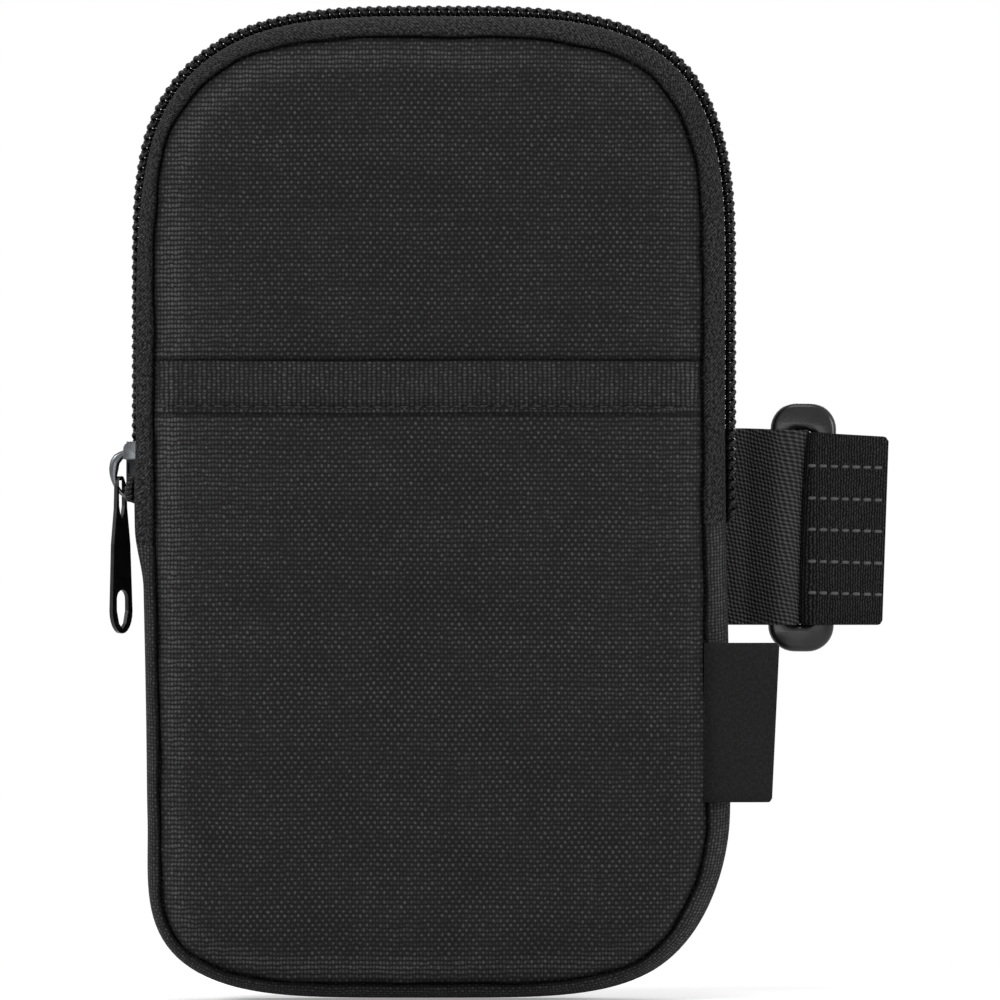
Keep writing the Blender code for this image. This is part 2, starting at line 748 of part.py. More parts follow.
def make_pull():
    """A teardrop tab with a slot for the bridge at the top and an oval eye at the bottom."""
    neck, wide = PULL_NECK_WIDTH / 2, PULL_WIDTH / 2
    crown = neck * 0.55
    belly = -PULL_LENGTH + wide * 1.35
    outer = half_round((0.0, PULL_BAR - crown), crown, 30, 150, 4)
    outer += [(-neck, -PULL_BROW), (-neck * 1.15, -PULL_WAIST), (-wide * 0.82, -PULL_HIP)]
    lower = half_round((0.0, belly), wide, 180, 360, 12)
    outer += [(x, belly + (y - belly) * 1.35) for x, y in lower]
    outer += [(wide * 0.82, -PULL_HIP), (neck * 1.15, -PULL_WAIST), (neck, -PULL_BROW)]
    slot_half = BRIDGE_WIDTH * 0.5 * (math.cos(PULL_TURN) + math.sin(PULL_TURN)) + PULL_PLAY
    slot = [
        (-slot_half, -PULL_BAR),
        (slot_half, -PULL_BAR),
        (slot_half, -PULL_SLOT * 0.68),
        (slot_half * 0.55, -PULL_SLOT * 0.9),
        (0.0, -PULL_SLOT),
        (-slot_half * 0.55, -PULL_SLOT * 0.9),
        (-slot_half, -PULL_SLOT * 0.68),
    ]
    eye_half = wide * 0.56
    eye_low = PULL_EYE_FOOT - PULL_LENGTH
    eye = half_round((0.0, eye_low + PULL_EYE - eye_half), eye_half, 0, 180, 8)
    eye += [(-eye_half, eye_low + PULL_EYE * 0.47), (-eye_half * 0.62, eye_low + PULL_EYE * 0.14)]
    eye += [(0.0, eye_low)]
    eye += [(eye_half * 0.62, eye_low + PULL_EYE * 0.14), (eye_half, eye_low + PULL_EYE * 0.47)]
    pull = flat_curve("pull_tab", [outer, slot, eye], PULL_THICK, METAL)
    pull = soften(pull, PULL_EDGE, 1)
    pull.data.transform(axes((0, 1, 0), (0, 0, 1), (1, 0, 0)))
    pull.data.transform(Matrix.Rotation(-PULL_TURN, 4, "Z"))
    pull.data.transform(Matrix.Rotation(-PULL_LEAN, 4, "Y"))
    fix_normals(pull)
    pull.location = at_chain(OUTER_PLATE_HIGH + PULL_PIVOT_OUT, 0.0, PULL_PIVOT_Z)
    shade(pull)


def fillet(points, radius, steps=5):
    """An open line through the points with its bends rounded."""
    line = [Vector(points[0])]
    for before, here, after in zip(points, points[1:], points[2:]):
        here = Vector(here)
        to_before = Vector(before) - here
        to_after = Vector(after) - here
        reach = min(radius, to_before.length * 0.49, to_after.length * 0.49)
        start = here + to_before.normalized() * reach
        end = here + to_after.normalized() * reach
        for step in range(steps + 1):
            t = step / steps
            line.append(start * (1 - t) ** 2 + here * 2 * t * (1 - t) + end * t**2)
    line.append(Vector(points[-1]))
    return line


def ribbon(name, path, thickness, height, middle_z, material, origin=None):
    """A flat band standing on edge that follows a path in plan."""
    origin = Vector(origin or (0, 0, 0))
    rows = []
    for z in (middle_z - height / 2, middle_z + height / 2):
        rows.append([Vector((point[0], point[1], z)) - origin for point in path])
    thing = link(mesh_of_rows(name, rows), name, PARTS, material)
    thicken(thing, thickness, 0.0)
    thing.location = origin
    return thing


WALL_SIDE_X = HALF_WIDTH + SIDE_DRIFT * 0.4
SEAM_X = WALL_SIDE_X - REAR_SEAM_INSET
RING_RIGHT_X = RING_LEFT_X + RING_SPAN
RING_EDGE_X = RING_RIGHT_X + RING_BAR / 2
RING_FRONT_Y = RING_Y - RING_THICK / 2
RING_BACK_Y = RING_Y + RING_THICK / 2
STRAP_REACH_X = RING_RIGHT_X + STRAP_TAIL


def make_webbing():
    """Doubled webbing: out of the rear seam, round the ring's left bar and back."""
    half_x, half_y = RING_BAR / 2 - RING_EDGE * 0.2, RING_THICK / 2 - RING_EDGE * 0.2
    loop = math.hypot(half_x, half_y) + RING_PLAY + WEBBING / 2
    root_x = SEAM_X + LAY_GAP * 3
    root_front = -REAR_SEAM_DEPTH + GAP * 1.7 + WEBBING / 2
    root_back = root_front + WEBBING + GAP
    neck_x = RING_LEFT_X - loop * 1.9
    turn = half_round((RING_LEFT_X, RING_Y), loop, -125, 125, 12)
    path = [(root_x, root_front), (neck_x, root_front), *turn, (neck_x, root_back), (root_x, root_back)]
    ribbon("webbing_tab", path, WEBBING, WEBBING_HEIGHT, STRAP_MID_Z, WEBBING_MATERIAL)


def rounded_box(half_x, half_z, corner, steps):
    line = []
    for sx, sz, start in ((1, 1, 0), (-1, 1, 90), (-1, -1, 180), (1, -1, 270)):
        centre = (sx * (half_x - corner), sz * (half_z - corner))
        line += half_round(centre, corner, start, start + 90, steps)
    return line


def make_ring():
    half_x = (RING_SPAN + RING_BAR) / 2
    half_z = SLOT_HEIGHT / 2 + RING_END
    outer = rounded_box(half_x, half_z, RING_CORNER, 5)
    slot = rounded_box(half_x - RING_BAR, SLOT_HEIGHT / 2, RING_EDGE, 2)
    ring = flat_curve("strap_ring", [outer, slot], RING_THICK, RING_MATERIAL)
    ring = soften(ring, RING_EDGE, 2)
    ring.data.transform(axes((1, 0, 0), (0, 0, 1), (0, -1, 0)))
    ring.data.transform(Matrix.Translation((RING_SPAN / 2, 0, 0)))
    fix_normals(ring)
    ring.location = (RING_LEFT_X, RING_Y, STRAP_MID_Z)
    shade(ring)


def make_band():
    """The elastic band: from the left rear seam, bowed behind the pouch, back to the ring."""
    lower_y = RING_BACK_Y + GAP + ELASTIC / 2
    turn_x = STRAP_REACH_X - STRAP_TURN_MARGIN - ELASTIC / 2
    root_x = -HALF_WIDTH + REAR_SEAM_INSET - STRAP_ROOT_OUT
    band = fillet(
        [
            (root_x, STRAP_ROOT_Y),
            (root_x + BOW_DEPTH * 0.1, BOW_DEPTH * 0.62),
            (root_x + BOW_DEPTH, BOW_DEPTH * 0.97),
            (0.0, BOW_DEPTH),
            (turn_x, BOW_DEPTH * 0.9),
            (turn_x, lower_y),
            (RING_EDGE_X + GAP * 3, lower_y),
        ],
        BOW_DEPTH * 0.66,
        6,
    )
    ribbon("elastic_band", band, ELASTIC, ELASTIC_HEIGHT, STRAP_MID_Z, ELASTIC_MATERIAL)
    loop_y = lower_y - ELASTIC / 2 - LAY_GAP - PATCH_THICK / 2
    side_x = turn_x + (lower_y - loop_y)
    line = [(RING_EDGE_X + STRAP_TURN_MARGIN, loop_y), (side_x, loop_y), (side_x, lower_y + BOW_DEPTH * 0.44)]
    loop = fillet(line, BOW_DEPTH * 0.44, 6)
    ribbon("loop_patch", loop, PATCH_THICK, PATCH_HEIGHT, STRAP_MID_Z, PATCH_MATERIAL)


def make_free_end():
    """The band's end: round the ring's right bar, then on to the hook patch."""
    lower_y = RING_BACK_Y + GAP + ELASTIC / 2
    front_y = RING_FRONT_Y - GAP - ELASTIC / 2
    slot_x = RING_RIGHT_X - RING_BAR / 2 - GAP - ELASTIC / 2
    wrap = [(RING_EDGE_X + GAP * 2, lower_y), (slot_x, lower_y), (slot_x, front_y), (RING_RIGHT_X - GAP, front_y)]
    ring_origin = (RING_LEFT_X, RING_Y, 0)
    wrap = fillet(wrap, ELASTIC * 1.2, 4)
    ribbon("band_wrap", wrap, ELASTIC, ELASTIC_HEIGHT, STRAP_MID_Z, ELASTIC_MATERIAL, ring_origin)

    hook_front = lower_y - ELASTIC / 2 - 2 * (LAY_GAP + PATCH_THICK)
    end_y = hook_front - LAY_GAP - ELASTIC / 2
    peel_origin = (RING_RIGHT_X, front_y - ELASTIC / 2, 0)
    free = [
        (RING_RIGHT_X, front_y),
        (RING_RIGHT_X + RING_BAR * 0.6, front_y),
        (RING_RIGHT_X + RING_BAR * 1.1, end_y),
        (STRAP_REACH_X, end_y),
    ]
    free = fillet(free, ELASTIC * 0.75, 3)
    ribbon("strap_end", free, ELASTIC, ELASTIC_HEIGHT, STRAP_MID_Z, ELASTIC_MATERIAL, peel_origin)
    hook_y = hook_front + PATCH_THICK / 2
    hook = [(RING_EDGE_X + HOOK_CLEAR, hook_y), (STRAP_REACH_X - HOOK_MARGIN, hook_y)]
    ribbon("hook_patch", hook, PATCH_THICK, PATCH_HEIGHT, STRAP_MID_Z, PATCH_MATERIAL, peel_origin)


def make_label():
    """A folded woven tag, sewn into the right front seam."""
    seam = TRACK.at_height(LABEL_TOP_Z - LABEL_HEIGHT / 2, 1)
    seam_x = TRACK.offset(seam, -FRONT_SEAM_INSET)[0]
    root_x = seam_x + FRONT_SHIFT_X + GAP
    front = -FRONT_SEAM_DEPTH - GAP - LABEL_THICK / 2
    path = fillet(
        [(root_x, front), (root_x + LABEL_LENGTH * 0.4, front), (root_x + LABEL_LENGTH, front + LABEL_CURL)],
        LABEL_LENGTH * 0.2,
        3,
    )
    middle = LABEL_TOP_Z - LABEL_HEIGHT / 2
    ribbon("side_label", path, LABEL_THICK, LABEL_HEIGHT, middle, LABEL_MATERIAL)


def seam_strip(name, start, end, wide_edge, narrow_edge):
    """The narrow tape that binds the raw edges of a seam, inside the pouch."""
    ends = [wide_edge, narrow_edge]
    return wall_strip(name, start, end, ends, BINDING_THICK, BINDING_MATERIAL, HIDDEN_STEP)


def make_seam_bindings():
    whole = TRACK.length
    lined = CLOTH + LAY_GAP * 2 + LINING + LAY_GAP
    rear_inset = REAR_SEAM_INSET * 0.3 + lined + LAY_GAP
    rear_y = -CLOTH - FOAM - LINING - 3 * LAY_GAP
    rear = (rear_inset + LAY_GAP, rear_y), (rear_inset, rear_y - BINDING_WIDTH)
    seam_strip("seam_binding_rear", GAP, whole - GAP, *rear)
    front = (lined, FRONT_BINDING_Y + BINDING_WIDTH), (lined + LAY_GAP, FRONT_BINDING_Y)
    seam_strip("seam_binding_front", LEFT_FOLD + GAP - whole, RIGHT_FOLD - GAP, *front)
    bare = TAPE + LAY_GAP
    flap = (bare, FRONT_BINDING_Y + BINDING_WIDTH), (bare + LAY_GAP, FRONT_BINDING_Y)
    seam_strip("seam_binding_flap", RIGHT_FOLD + GAP, LEFT_FOLD - GAP, *flap)


empty_scene()
PARTS = new_collection("bottle_pouch")
CUTTERS = new_collection("cutters")
FABRIC = new_material("woven_polyester", (0.022, 0.022, 0.023), 0.85)
FOAM_MATERIAL = new_material("foam", (0.16, 0.16, 0.165), 0.95)
LINING_MATERIAL = new_material("lining", (0.03, 0.03, 0.032), 0.8)
TAPE_MATERIAL = new_material("zip_tape", (0.014, 0.014, 0.014), 0.8)
COIL_MATERIAL = new_material("nylon_coil", (0.008, 0.008, 0.008), 0.35)
METAL = new_material("gunmetal", (0.09, 0.095, 0.1), 0.32, 1.0)
WEBBING_MATERIAL = new_material("webbing", (0.012, 0.012, 0.012), 0.7)
ELASTIC_MATERIAL = new_material("elastic", (0.014, 0.014, 0.014), 0.8)
RING_MATERIAL = new_material("ring_plastic", (0.03, 0.03, 0.03), 0.4)
PATCH_MATERIAL = new_material("hook_and_loop", (0.01, 0.01, 0.01), 0.9)
LABEL_MATERIAL = new_material("label_tape", (0.015, 0.015, 0.016), 0.6)
BINDING_MATERIAL = new_material("binding_tape", (0.012, 0.012, 0.012), 0.8)

make_back()
make_front()
make_pocket()
make_walls()
make_coils()
make_slider()
make_pull()
make_webbing()
make_ring()
make_band()
make_free_end()
make_label()
make_seam_bindings()
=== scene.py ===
"""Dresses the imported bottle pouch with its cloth, zip, metal, strap and tag, and sets the stage.

Seen from the front, +X is to the right, +Y goes to the back and +Z is up. Sizes are in metres.
Each operator makes one piece or one group of like pieces.
"""

import math
from contextlib import contextmanager

import bmesh
import bpy
import numpy as np
from bpy.props import FloatProperty, FloatVectorProperty, PointerProperty
from mathutils import Matrix, Vector, kdtree


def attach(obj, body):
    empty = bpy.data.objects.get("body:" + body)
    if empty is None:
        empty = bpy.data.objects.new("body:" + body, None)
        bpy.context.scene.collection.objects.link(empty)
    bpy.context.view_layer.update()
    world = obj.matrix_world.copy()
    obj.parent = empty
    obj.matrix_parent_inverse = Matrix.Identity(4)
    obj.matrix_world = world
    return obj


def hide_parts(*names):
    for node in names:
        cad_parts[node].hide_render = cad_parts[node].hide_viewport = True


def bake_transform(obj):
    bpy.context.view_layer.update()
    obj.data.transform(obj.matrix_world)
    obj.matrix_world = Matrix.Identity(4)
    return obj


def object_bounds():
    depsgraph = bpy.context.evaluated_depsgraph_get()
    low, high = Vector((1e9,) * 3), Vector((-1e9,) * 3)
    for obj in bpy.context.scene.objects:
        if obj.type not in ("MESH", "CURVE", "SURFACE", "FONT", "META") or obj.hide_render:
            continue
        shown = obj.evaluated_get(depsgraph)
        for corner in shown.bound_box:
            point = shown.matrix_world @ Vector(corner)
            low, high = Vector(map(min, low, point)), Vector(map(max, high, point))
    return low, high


bl_info = {
    "name": "Bottle pouch",
    "version": (1, 0, 0),
    "blender": (4, 5, 0),
    "location": "View3D > Sidebar > Pouch",
    "description": "Dresses a zip pouch that is strapped to a drinking bottle",
    "category": "Object",
}

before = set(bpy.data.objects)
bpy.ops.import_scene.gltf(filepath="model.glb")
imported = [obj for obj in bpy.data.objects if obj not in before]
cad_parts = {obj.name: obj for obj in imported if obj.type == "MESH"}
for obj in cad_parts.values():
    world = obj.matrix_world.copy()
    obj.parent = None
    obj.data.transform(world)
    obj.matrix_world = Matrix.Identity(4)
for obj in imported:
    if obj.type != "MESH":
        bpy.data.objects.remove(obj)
CAD_BOX = [list(corner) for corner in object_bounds()]
MM = 0.001

# Outline of the side wall, within 2 mm of the one in the part's source
HALF_WIDTH = 57.3 * MM
TOP_CENTRE_Z = 42.0 * MM
TOP_RISE = 53.3 * MM
TOP_ROUNDNESS = 3.4
BOTTOM_CENTRE_Z = -45.0 * MM
BOTTOM_DROP = 52.6 * MM
BOTTOM_ROUNDNESS = 4.2
TOP_DRIFT = 1.0 * MM
TOP_DRIFT_Z = 70.0 * MM
SIDE_DRIFT = 1.1 * MM
SIDE_DRIFT_Z = 15.2 * MM
SIDE_DRIFT_RUN = 75.0 * MM
BOTTOM_DRIFT = -2.8 * MM
BOTTOM_DRIFT_Z = -62.0 * MM
BOTTOM_DRIFT_RUN = 30.0 * MM
FRONT_SHIFT_X = -1.1 * MM
FRONT_SHIFT_Z = -0.85 * MM

# Depths and heights of the pouch
CHAIN_DEPTH = 11.0 * MM
FRONT_SEAM_DEPTH = 21.4 * MM
FRONT_SEAM_INSET = 4.0 * MM
CROWN = 3.4 * MM
CROWN_REACH = 11.0 * MM
SHOULDER = 5.2 * MM
POCKET_TOP_Z = 27.3 * MM
HEM_HEIGHT = 10.0 * MM
HEM_LOW_Z = POCKET_TOP_Z - HEM_HEIGHT
HEM_STITCH_Z = HEM_LOW_Z + 1.1 * MM
HEM_FACE = 1.95 * MM
POCKET_LIFT = 1.15 * MM
FOLD_Z = 60.0 * MM
ZIP_END_LEFT_Z = -8.0 * MM
ZIP_END_RIGHT_Z = -4.0 * MM
CHAIN_END_LEFT_Z = 1.0 * MM
COIL_HEIGHT = 2.3 * MM
COIL_WIDTH = 2.2 * MM
COIL_BREADTH = 1.45
COIL_SINK = 0.2 * MM
MESHED = 0.35 * MM
TAPE_EDGE_GAP = 0.2 * MM
WALL_END_GAP = 0.3 * MM
GUSSET_END_GAP = 0.06 * MM

# Thickness of each layer as shown, and the middle lines of the two seams
CLOTH = 0.6 * MM
LINING = 0.4 * MM
FRONT_FOAM = 1.1 * MM
BACK_FOAM = 2.8 * MM
TAPE = 0.5 * MM
BINDING = 0.9 * MM
FRONT_GROOVE = (3.65 * MM, -21.15 * MM)
REAR_GROOVE = (3.7 * MM, -1.3 * MM)
SHARP_EDGE = math.radians(50)

# How finely the walls, sheets and seams are drawn, and the point in a sheet where its rows meet
WALL_STEP = 1.6 * MM
HIDDEN_STEP = 3.0 * MM
SHEET_STEPS = 320
SHEET_ROWS = 26
SHEET_MIDDLE = (0.0, -1.0 * MM)
SEAM_STEPS = 1600

# Slider
SLIDER_LOW_Z = 0.2 * MM
SLIDER_LENGTH = 11.5 * MM
SLIDER_HALF = 4.65 * MM
SLIDER_FOOT = 0.62
SLIDER_HEAD = 0.86
SLIDER_BROW = 3.4 * MM
CHANNEL_HALF = 3.65 * MM
OUTER_PLATE = (2.3 * MM, 3.2 * MM)
INNER_PLATE = (-1.8 * MM, -0.9 * MM)

# Strap
STRAP_MID_Z = -5.3 * MM
WEBBING = 1.2 * MM
WEBBING_HEIGHT = 38.6 * MM
ELASTIC = 1.6 * MM
ELASTIC_HEIGHT = 37.6 * MM
PATCH = 1.0 * MM
PATCH_MARGIN = 2.0 * MM
LAY_GAP = 0.35 * MM
RING_Y = 0.8 * MM
RING_LEFT_X = 68.3 * MM
RING_SPAN = 9.0 * MM
RING_BAR = 4.0 * MM
RING_THICK = 2.6 * MM
RING_END = 4.9 * MM
RING_CORNER = 5.2 * MM
SLOT_HEIGHT = 39.4 * MM
BOW_DEPTH = 13.6 * MM
STRAP_REACH_X = 89.0 * MM


def length_property(name, description, default):
    """A length that a user may change."""
    return FloatProperty(name=name, description=description, default=default, unit="LENGTH")


def colour_property(name, description, default):
    """A colour that a user may change."""
    return FloatVectorProperty(name=name, description=description, default=default, subtype="COLOR")


class PouchSizes(bpy.types.PropertyGroup):
    """Sizes of the pouch's small detail"""

    yarn_across: length_property("Yarn across", "Width of one yarn of the cloth", 0.67 * MM)
    yarn_along: length_property("Yarn along", "Height of one yarn of the cloth", 0.91 * MM)
    tooth_pitch: length_property("Tooth pitch", "Distance between two turns of the coil", 1.95 * MM)
    coil_wire: length_property("Coil wire", "Radius of the coil's filament", 0.38 * MM)
    stitch_pitch: length_property("Stitch pitch", "Distance between two stitches of the hem", 2.6 * MM)
    dash_pitch: length_property("Dash pitch", "Distance between two dashes of the elastic", 2.18 * MM)
    pucker: length_property("Pucker", "Height of the puckers along the seams", 0.12 * MM)


class PouchColours(bpy.types.PropertyGroup):
    """Colours of the pouch"""

    cloth: colour_property("Cloth", "Ground of the woven cloth", (0.0088, 0.0088, 0.0091))
    cloth_raised: colour_property("Cloth, raised", "Raised yarns of the cloth", (0.063, 0.063, 0.064))
    tape: colour_property("Tape", "Zip tape", (0.014, 0.014, 0.014))
    coil: colour_property("Coil", "Nylon coil of the zip", (0.004, 0.004, 0.004))
    metal: colour_property("Metal", "Lacquered slider", (0.09, 0.095, 0.1))
    pull: colour_property("Pull", "Lacquer of the pull", (0.012, 0.012, 0.012))
    webbing: colour_property("Webbing", "Webbing tab", (0.012, 0.012, 0.012))
    elastic: colour_property("Elastic", "Elastic band", (0.012, 0.012, 0.012))
    ring: colour_property("Ring", "Moulded ring", (0.011, 0.011, 0.011))
    label: colour_property("Label", "Woven tag", (0.013, 0.013, 0.014))


# The outline as a path


def smooth_step(value):
    """0 below 0, 1 above 1, and a soft rise between."""
    value = np.clip(value, 0.0, 1.0)
    return value * value * (3.0 - 2.0 * value)


def sway(z):
    """How far the pouch's middle line has moved sideways at this height."""
    top = TOP_DRIFT * smooth_step((z - TOP_DRIFT_Z) / (TOP_CENTRE_Z + TOP_RISE - TOP_DRIFT_Z))
    side = SIDE_DRIFT * smooth_step((SIDE_DRIFT_Z - z) / SIDE_DRIFT_RUN)
    bottom = BOTTOM_DRIFT * smooth_step((BOTTOM_DRIFT_Z - z) / BOTTOM_DRIFT_RUN)
    return top + side + bottom


def quarter(centre_z, rise, roundness, start, end, steps):
    """Points on a rounded end of the outline, between two angles in degrees."""
    angle = np.radians(np.linspace(start, end, steps + 1))
    c, s = np.cos(angle), np.sin(angle)
    x = HALF_WIDTH * np.sign(c) * np.abs(c) ** (2 / roundness)
    z = centre_z + rise * np.sign(s) * np.abs(s) ** (2 / roundness)
    return np.stack([x, z], 1)


class Outline:
    """The wall's outer line, anticlockwise from the front, read by the distance along it."""

    def __init__(self, fine=60):
        side = np.linspace(BOTTOM_CENTRE_Z, TOP_CENTRE_Z, fine + 1)[1:-1]
        right = np.stack([np.full_like(side, HALF_WIDTH), side], 1)
        left = np.stack([np.full_like(side, -HALF_WIDTH), side[::-1]], 1)
        points = np.concatenate(
            [
                quarter(BOTTOM_CENTRE_Z, BOTTOM_DROP, BOTTOM_ROUNDNESS, -90, 0, fine),
                right,
                quarter(TOP_CENTRE_Z, TOP_RISE, TOP_ROUNDNESS, 0, 180, 2 * fine),
                left,
                quarter(BOTTOM_CENTRE_Z, BOTTOM_DROP, BOTTOM_ROUNDNESS, 180, 270, fine),
            ]
        )
        points[:, 0] += sway(points[:, 1])
        self.points = points
        steps = np.linalg.norm(np.diff(points, axis=0), axis=1)
        self.marks = np.concatenate([[0.0], np.cumsum(steps)])
        self.length = float(self.marks[-1])

    def place(self, distance):
        distance = np.mod(distance, self.length)
        x = np.interp(distance, self.marks, self.points[:, 0])
        z = np.interp(distance, self.marks, self.points[:, 1])
        return np.stack([x, z], -1)

    def outward(self, distance, reach=2.0 * MM):
        along = self.place(distance + reach) - self.place(distance - reach)
        along /= np.linalg.norm(along, axis=-1, keepdims=True)
        return np.stack([along[..., 1], -along[..., 0]], -1)

    def offset(self, distance, outset):
        return self.place(distance) + self.outward(distance) * outset

    def at_height(self, z, side):
        """The distance at which the outline passes this height on the right (+1) or left (-1)."""
        keep = self.points[:, 0] * side > 0
        keep &= np.abs(self.points[:, 1] - z) < 15 * MM
        order = np.argsort(self.points[keep, 1])
        return float(np.interp(z, self.points[keep, 1][order], self.marks[keep][order]))


OUTLINE = Outline()
LEFT_END = OUTLINE.at_height(ZIP_END_LEFT_Z, -1)
RIGHT_END = OUTLINE.at_height(ZIP_END_RIGHT_Z, 1)


def front_share(y):
    """0 at the chain and behind it, 1 at the front seam."""
    start = -CHAIN_DEPTH - SHOULDER * 0.5
    return smooth_step((start - y) / (start + FRONT_SEAM_DEPTH))


def seam_drift(distance, inset):
    """How far the hand-sewn front seam strays inward here."""
    stray = 0.13 * np.sin(distance / (4.3 * MM)) + 0.07 * np.sin(distance / (1.9 * MM) + 1.0)
    return stray * MM * np.exp(-(((inset / MM - 3.7) / 1.3) ** 2))


def zip_end_bulge(distance, y):
    """The zip tape's end is turned under below the slider, and stands out in front of the slider's foot."""
    z = OUTLINE.place(distance)[..., 1]
    side = distance % OUTLINE.length > OUTLINE.length / 2
    fall = smooth_step((z + 17.0 * MM) / (12.0 * MM))
    below = smooth_step((-0.2 * MM - z) / (2.5 * MM)) * np.exp(-(((y + 12.5 * MM) / (5.0 * MM)) ** 2))
    before = 0.72 * smooth_step((78.0 * MM - z) / (45.0 * MM))
    before = before + 0.28 * smooth_step((12.0 * MM - z) / (9.0 * MM))
    before = before * smooth_step((-15.8 * MM - y) / (1.2 * MM)) * smooth_step((y + 20.0 * MM) / (2.4 * MM))
    return 1.5 * MM * np.maximum(below, before) * fall * side


def wall_points(distance, inset, y):
    """Points of the side wall, for arrays of the same shape."""
    inset = np.asarray(inset) + seam_drift(distance, inset) * front_share(y) - zip_end_bulge(distance, y)
    flat = OUTLINE.place(distance) - OUTLINE.outward(distance) * inset[..., None]
    share = front_share(y)
    x = flat[..., 0] + FRONT_SHIFT_X * share
    z = flat[..., 1] + FRONT_SHIFT_Z * share
    return np.stack([x, np.broadcast_to(y, x.shape), z], -1)


# Lines and meshes


def seam_tree():
    """Points along the front and the rear seam, for nearest-point searches."""
    around = np.linspace(0, OUTLINE.length, SEAM_STEPS, endpoint=False)
    front_inset, front_y = FRONT_GROOVE
    rear_inset, rear_y = REAR_GROOVE
    strayed = (front_inset + seam_drift(around, front_inset))[:, None]
    front = OUTLINE.place(around) - OUTLINE.outward(around) * strayed
    front = front + np.array([FRONT_SHIFT_X, FRONT_SHIFT_Z])
    rear = OUTLINE.place(around) - OUTLINE.outward(around) * rear_inset
    tree = kdtree.KDTree(2 * len(around))
    spots = [(x, front_y, z) for x, z in front] + [(x, rear_y, z) for x, z in rear]
    for k, spot in enumerate(spots):
        tree.insert(spot, k)
    tree.balance()
    return tree


def mark_seams(thing):
    """Stores each vertex's distance to the nearest seam, in millimetres."""
    tree = seam_tree()
    marks = [tree.find(vert.co)[2] / MM for vert in thing.data.vertices]
    layer = thing.data.attributes.new("seam", "FLOAT", "POINT")
    layer.data.foreach_set("value", np.array(marks, np.float32))
    return thing


def spline(points, steps=6):
    """A smooth line through the points."""
    points = np.asarray(points, float)
    padded = np.concatenate([[2 * points[0] - points[1]], points, [2 * points[-1] - points[-2]]])
    line = []
    for i in range(len(points) - 1):
        p0, p1, p2, p3 = padded[i : i + 4]
        for t in np.arange(steps) / steps:
            curve = (2 * p0 - 5 * p1 + 4 * p2 - p3) * t * t
            line.append(0.5 * (2 * p1 + (p2 - p0) * t + curve + (3 * p1 - p0 - 3 * p2 + p3) * t**3))
    line.append(points[-1])
    return np.array(line)


def fillet(points, radius, steps=6):
    """An open line through the points with its bends rounded."""
    points = [np.asarray(p, float) for p in points]
    line = [points[0]]
    for before, here, after in zip(points, points[1:], points[2:]):
        back, on = before - here, after - here
        reach = min(radius, np.linalg.norm(back) * 0.49, np.linalg.norm(on) * 0.49)
        start = here + back / np.linalg.norm(back) * reach
        end = here + on / np.linalg.norm(on) * reach
        for t in np.linspace(0, 1, steps + 1):
            line.append(start * (1 - t) ** 2 + here * 2 * t * (1 - t) + end * t**2)
    line.append(points[-1])
    return np.array(line)


def evenly(line, step):
    """The same line with its points a set step apart."""
    line = np.asarray(line, float)
    run = np.concatenate([[0], np.cumsum(np.linalg.norm(np.diff(line, axis=0), axis=1))])
    marks = np.linspace(0, run[-1], max(2, round(run[-1] / step)) + 1)
    return np.stack([np.interp(marks, run, line[:, k]) for k in range(line.shape[1])], 1)


def linked(name, data):
    """A new object in the scene that shows this mesh, curve, lamp or lens."""
    thing = bpy.data.objects.new(name, data)
    bpy.context.scene.collection.objects.link(thing)
    return thing


@contextmanager
def edited(mesh):
    """Opens a mesh for edits and writes them back."""
    build = bmesh.new()
    build.from_mesh(mesh)
    yield build
    build.to_mesh(mesh)
    build.free()


def new_object(name, mesh, material):
    """Shows a mesh in the scene, smooth but for its sharp edges."""
    thing = linked(name, mesh)
    mesh.materials.append(material)
    mesh.shade_smooth()
    mesh.set_sharp_from_angle(angle=SHARP_EDGE)
    return thing


def tube_faces(rows, sides):
    """The faces of a tube with closed ends, whose points come ring by ring."""
    faces = []
    for i in range(rows - 1):
        for j in range(sides):
            k = (j + 1) % sides
            faces.append((i * sides + j, i * sides + k, (i + 1) * sides + k, (i + 1) * sides + j))
    faces.append(tuple(range(sides)))
    faces.append(tuple((rows - 1) * sides + j for j in reversed(range(sides))))
    return faces


def skin(name, points, uvs, material):
    """A tube through a grid of points, each row one section, with its UVs in metres."""
    rows, count = points.shape[:2]
    verts = points.reshape(-1, 3)
    faces = tube_faces(rows, count)
    cells = [(i, j) for i in range(rows - 1) for j in range(count)]
    corners = [((i, j), (i, j + 1), (i + 1, j + 1), (i + 1, j)) for i, j in cells]
    corners.append([(0, j) for j in range(count)])
    corners.append([(rows - 1, j) for j in reversed(range(count))])
    mesh = bpy.data.meshes.new(name)
    mesh.from_pydata(verts.tolist(), [], faces)
    layer = mesh.uv_layers.new(name="cloth")
    flat = [uvs[i, j] for corner in corners for i, j in corner]
    layer.data.foreach_set("uv", np.array(flat, np.float32).ravel())
    with edited(mesh) as build:
        bmesh.ops.recalc_face_normals(build, faces=build.faces)
    return new_object(name, mesh, material)


def ring_uvs(points, along, round_marks):
    """UVs for skin: the distance along, and the distance round each section."""
    rows, count = points.shape[:2]
    uvs = np.zeros((rows + 1, count + 1, 2))
    uvs[:, :, 0] = np.append(along, along[-1])[:, None]
    uvs[:, :, 1] = np.append(round_marks, round_marks[-1])[None, :]
    return uvs


def directions(line):
    """Unit directions along a flat line, and to its left."""
    along = np.gradient(line, axis=0)
    along /= np.linalg.norm(along, axis=1, keepdims=True)
    return along, np.stack([-along[:, 1], along[:, 0]], 1)


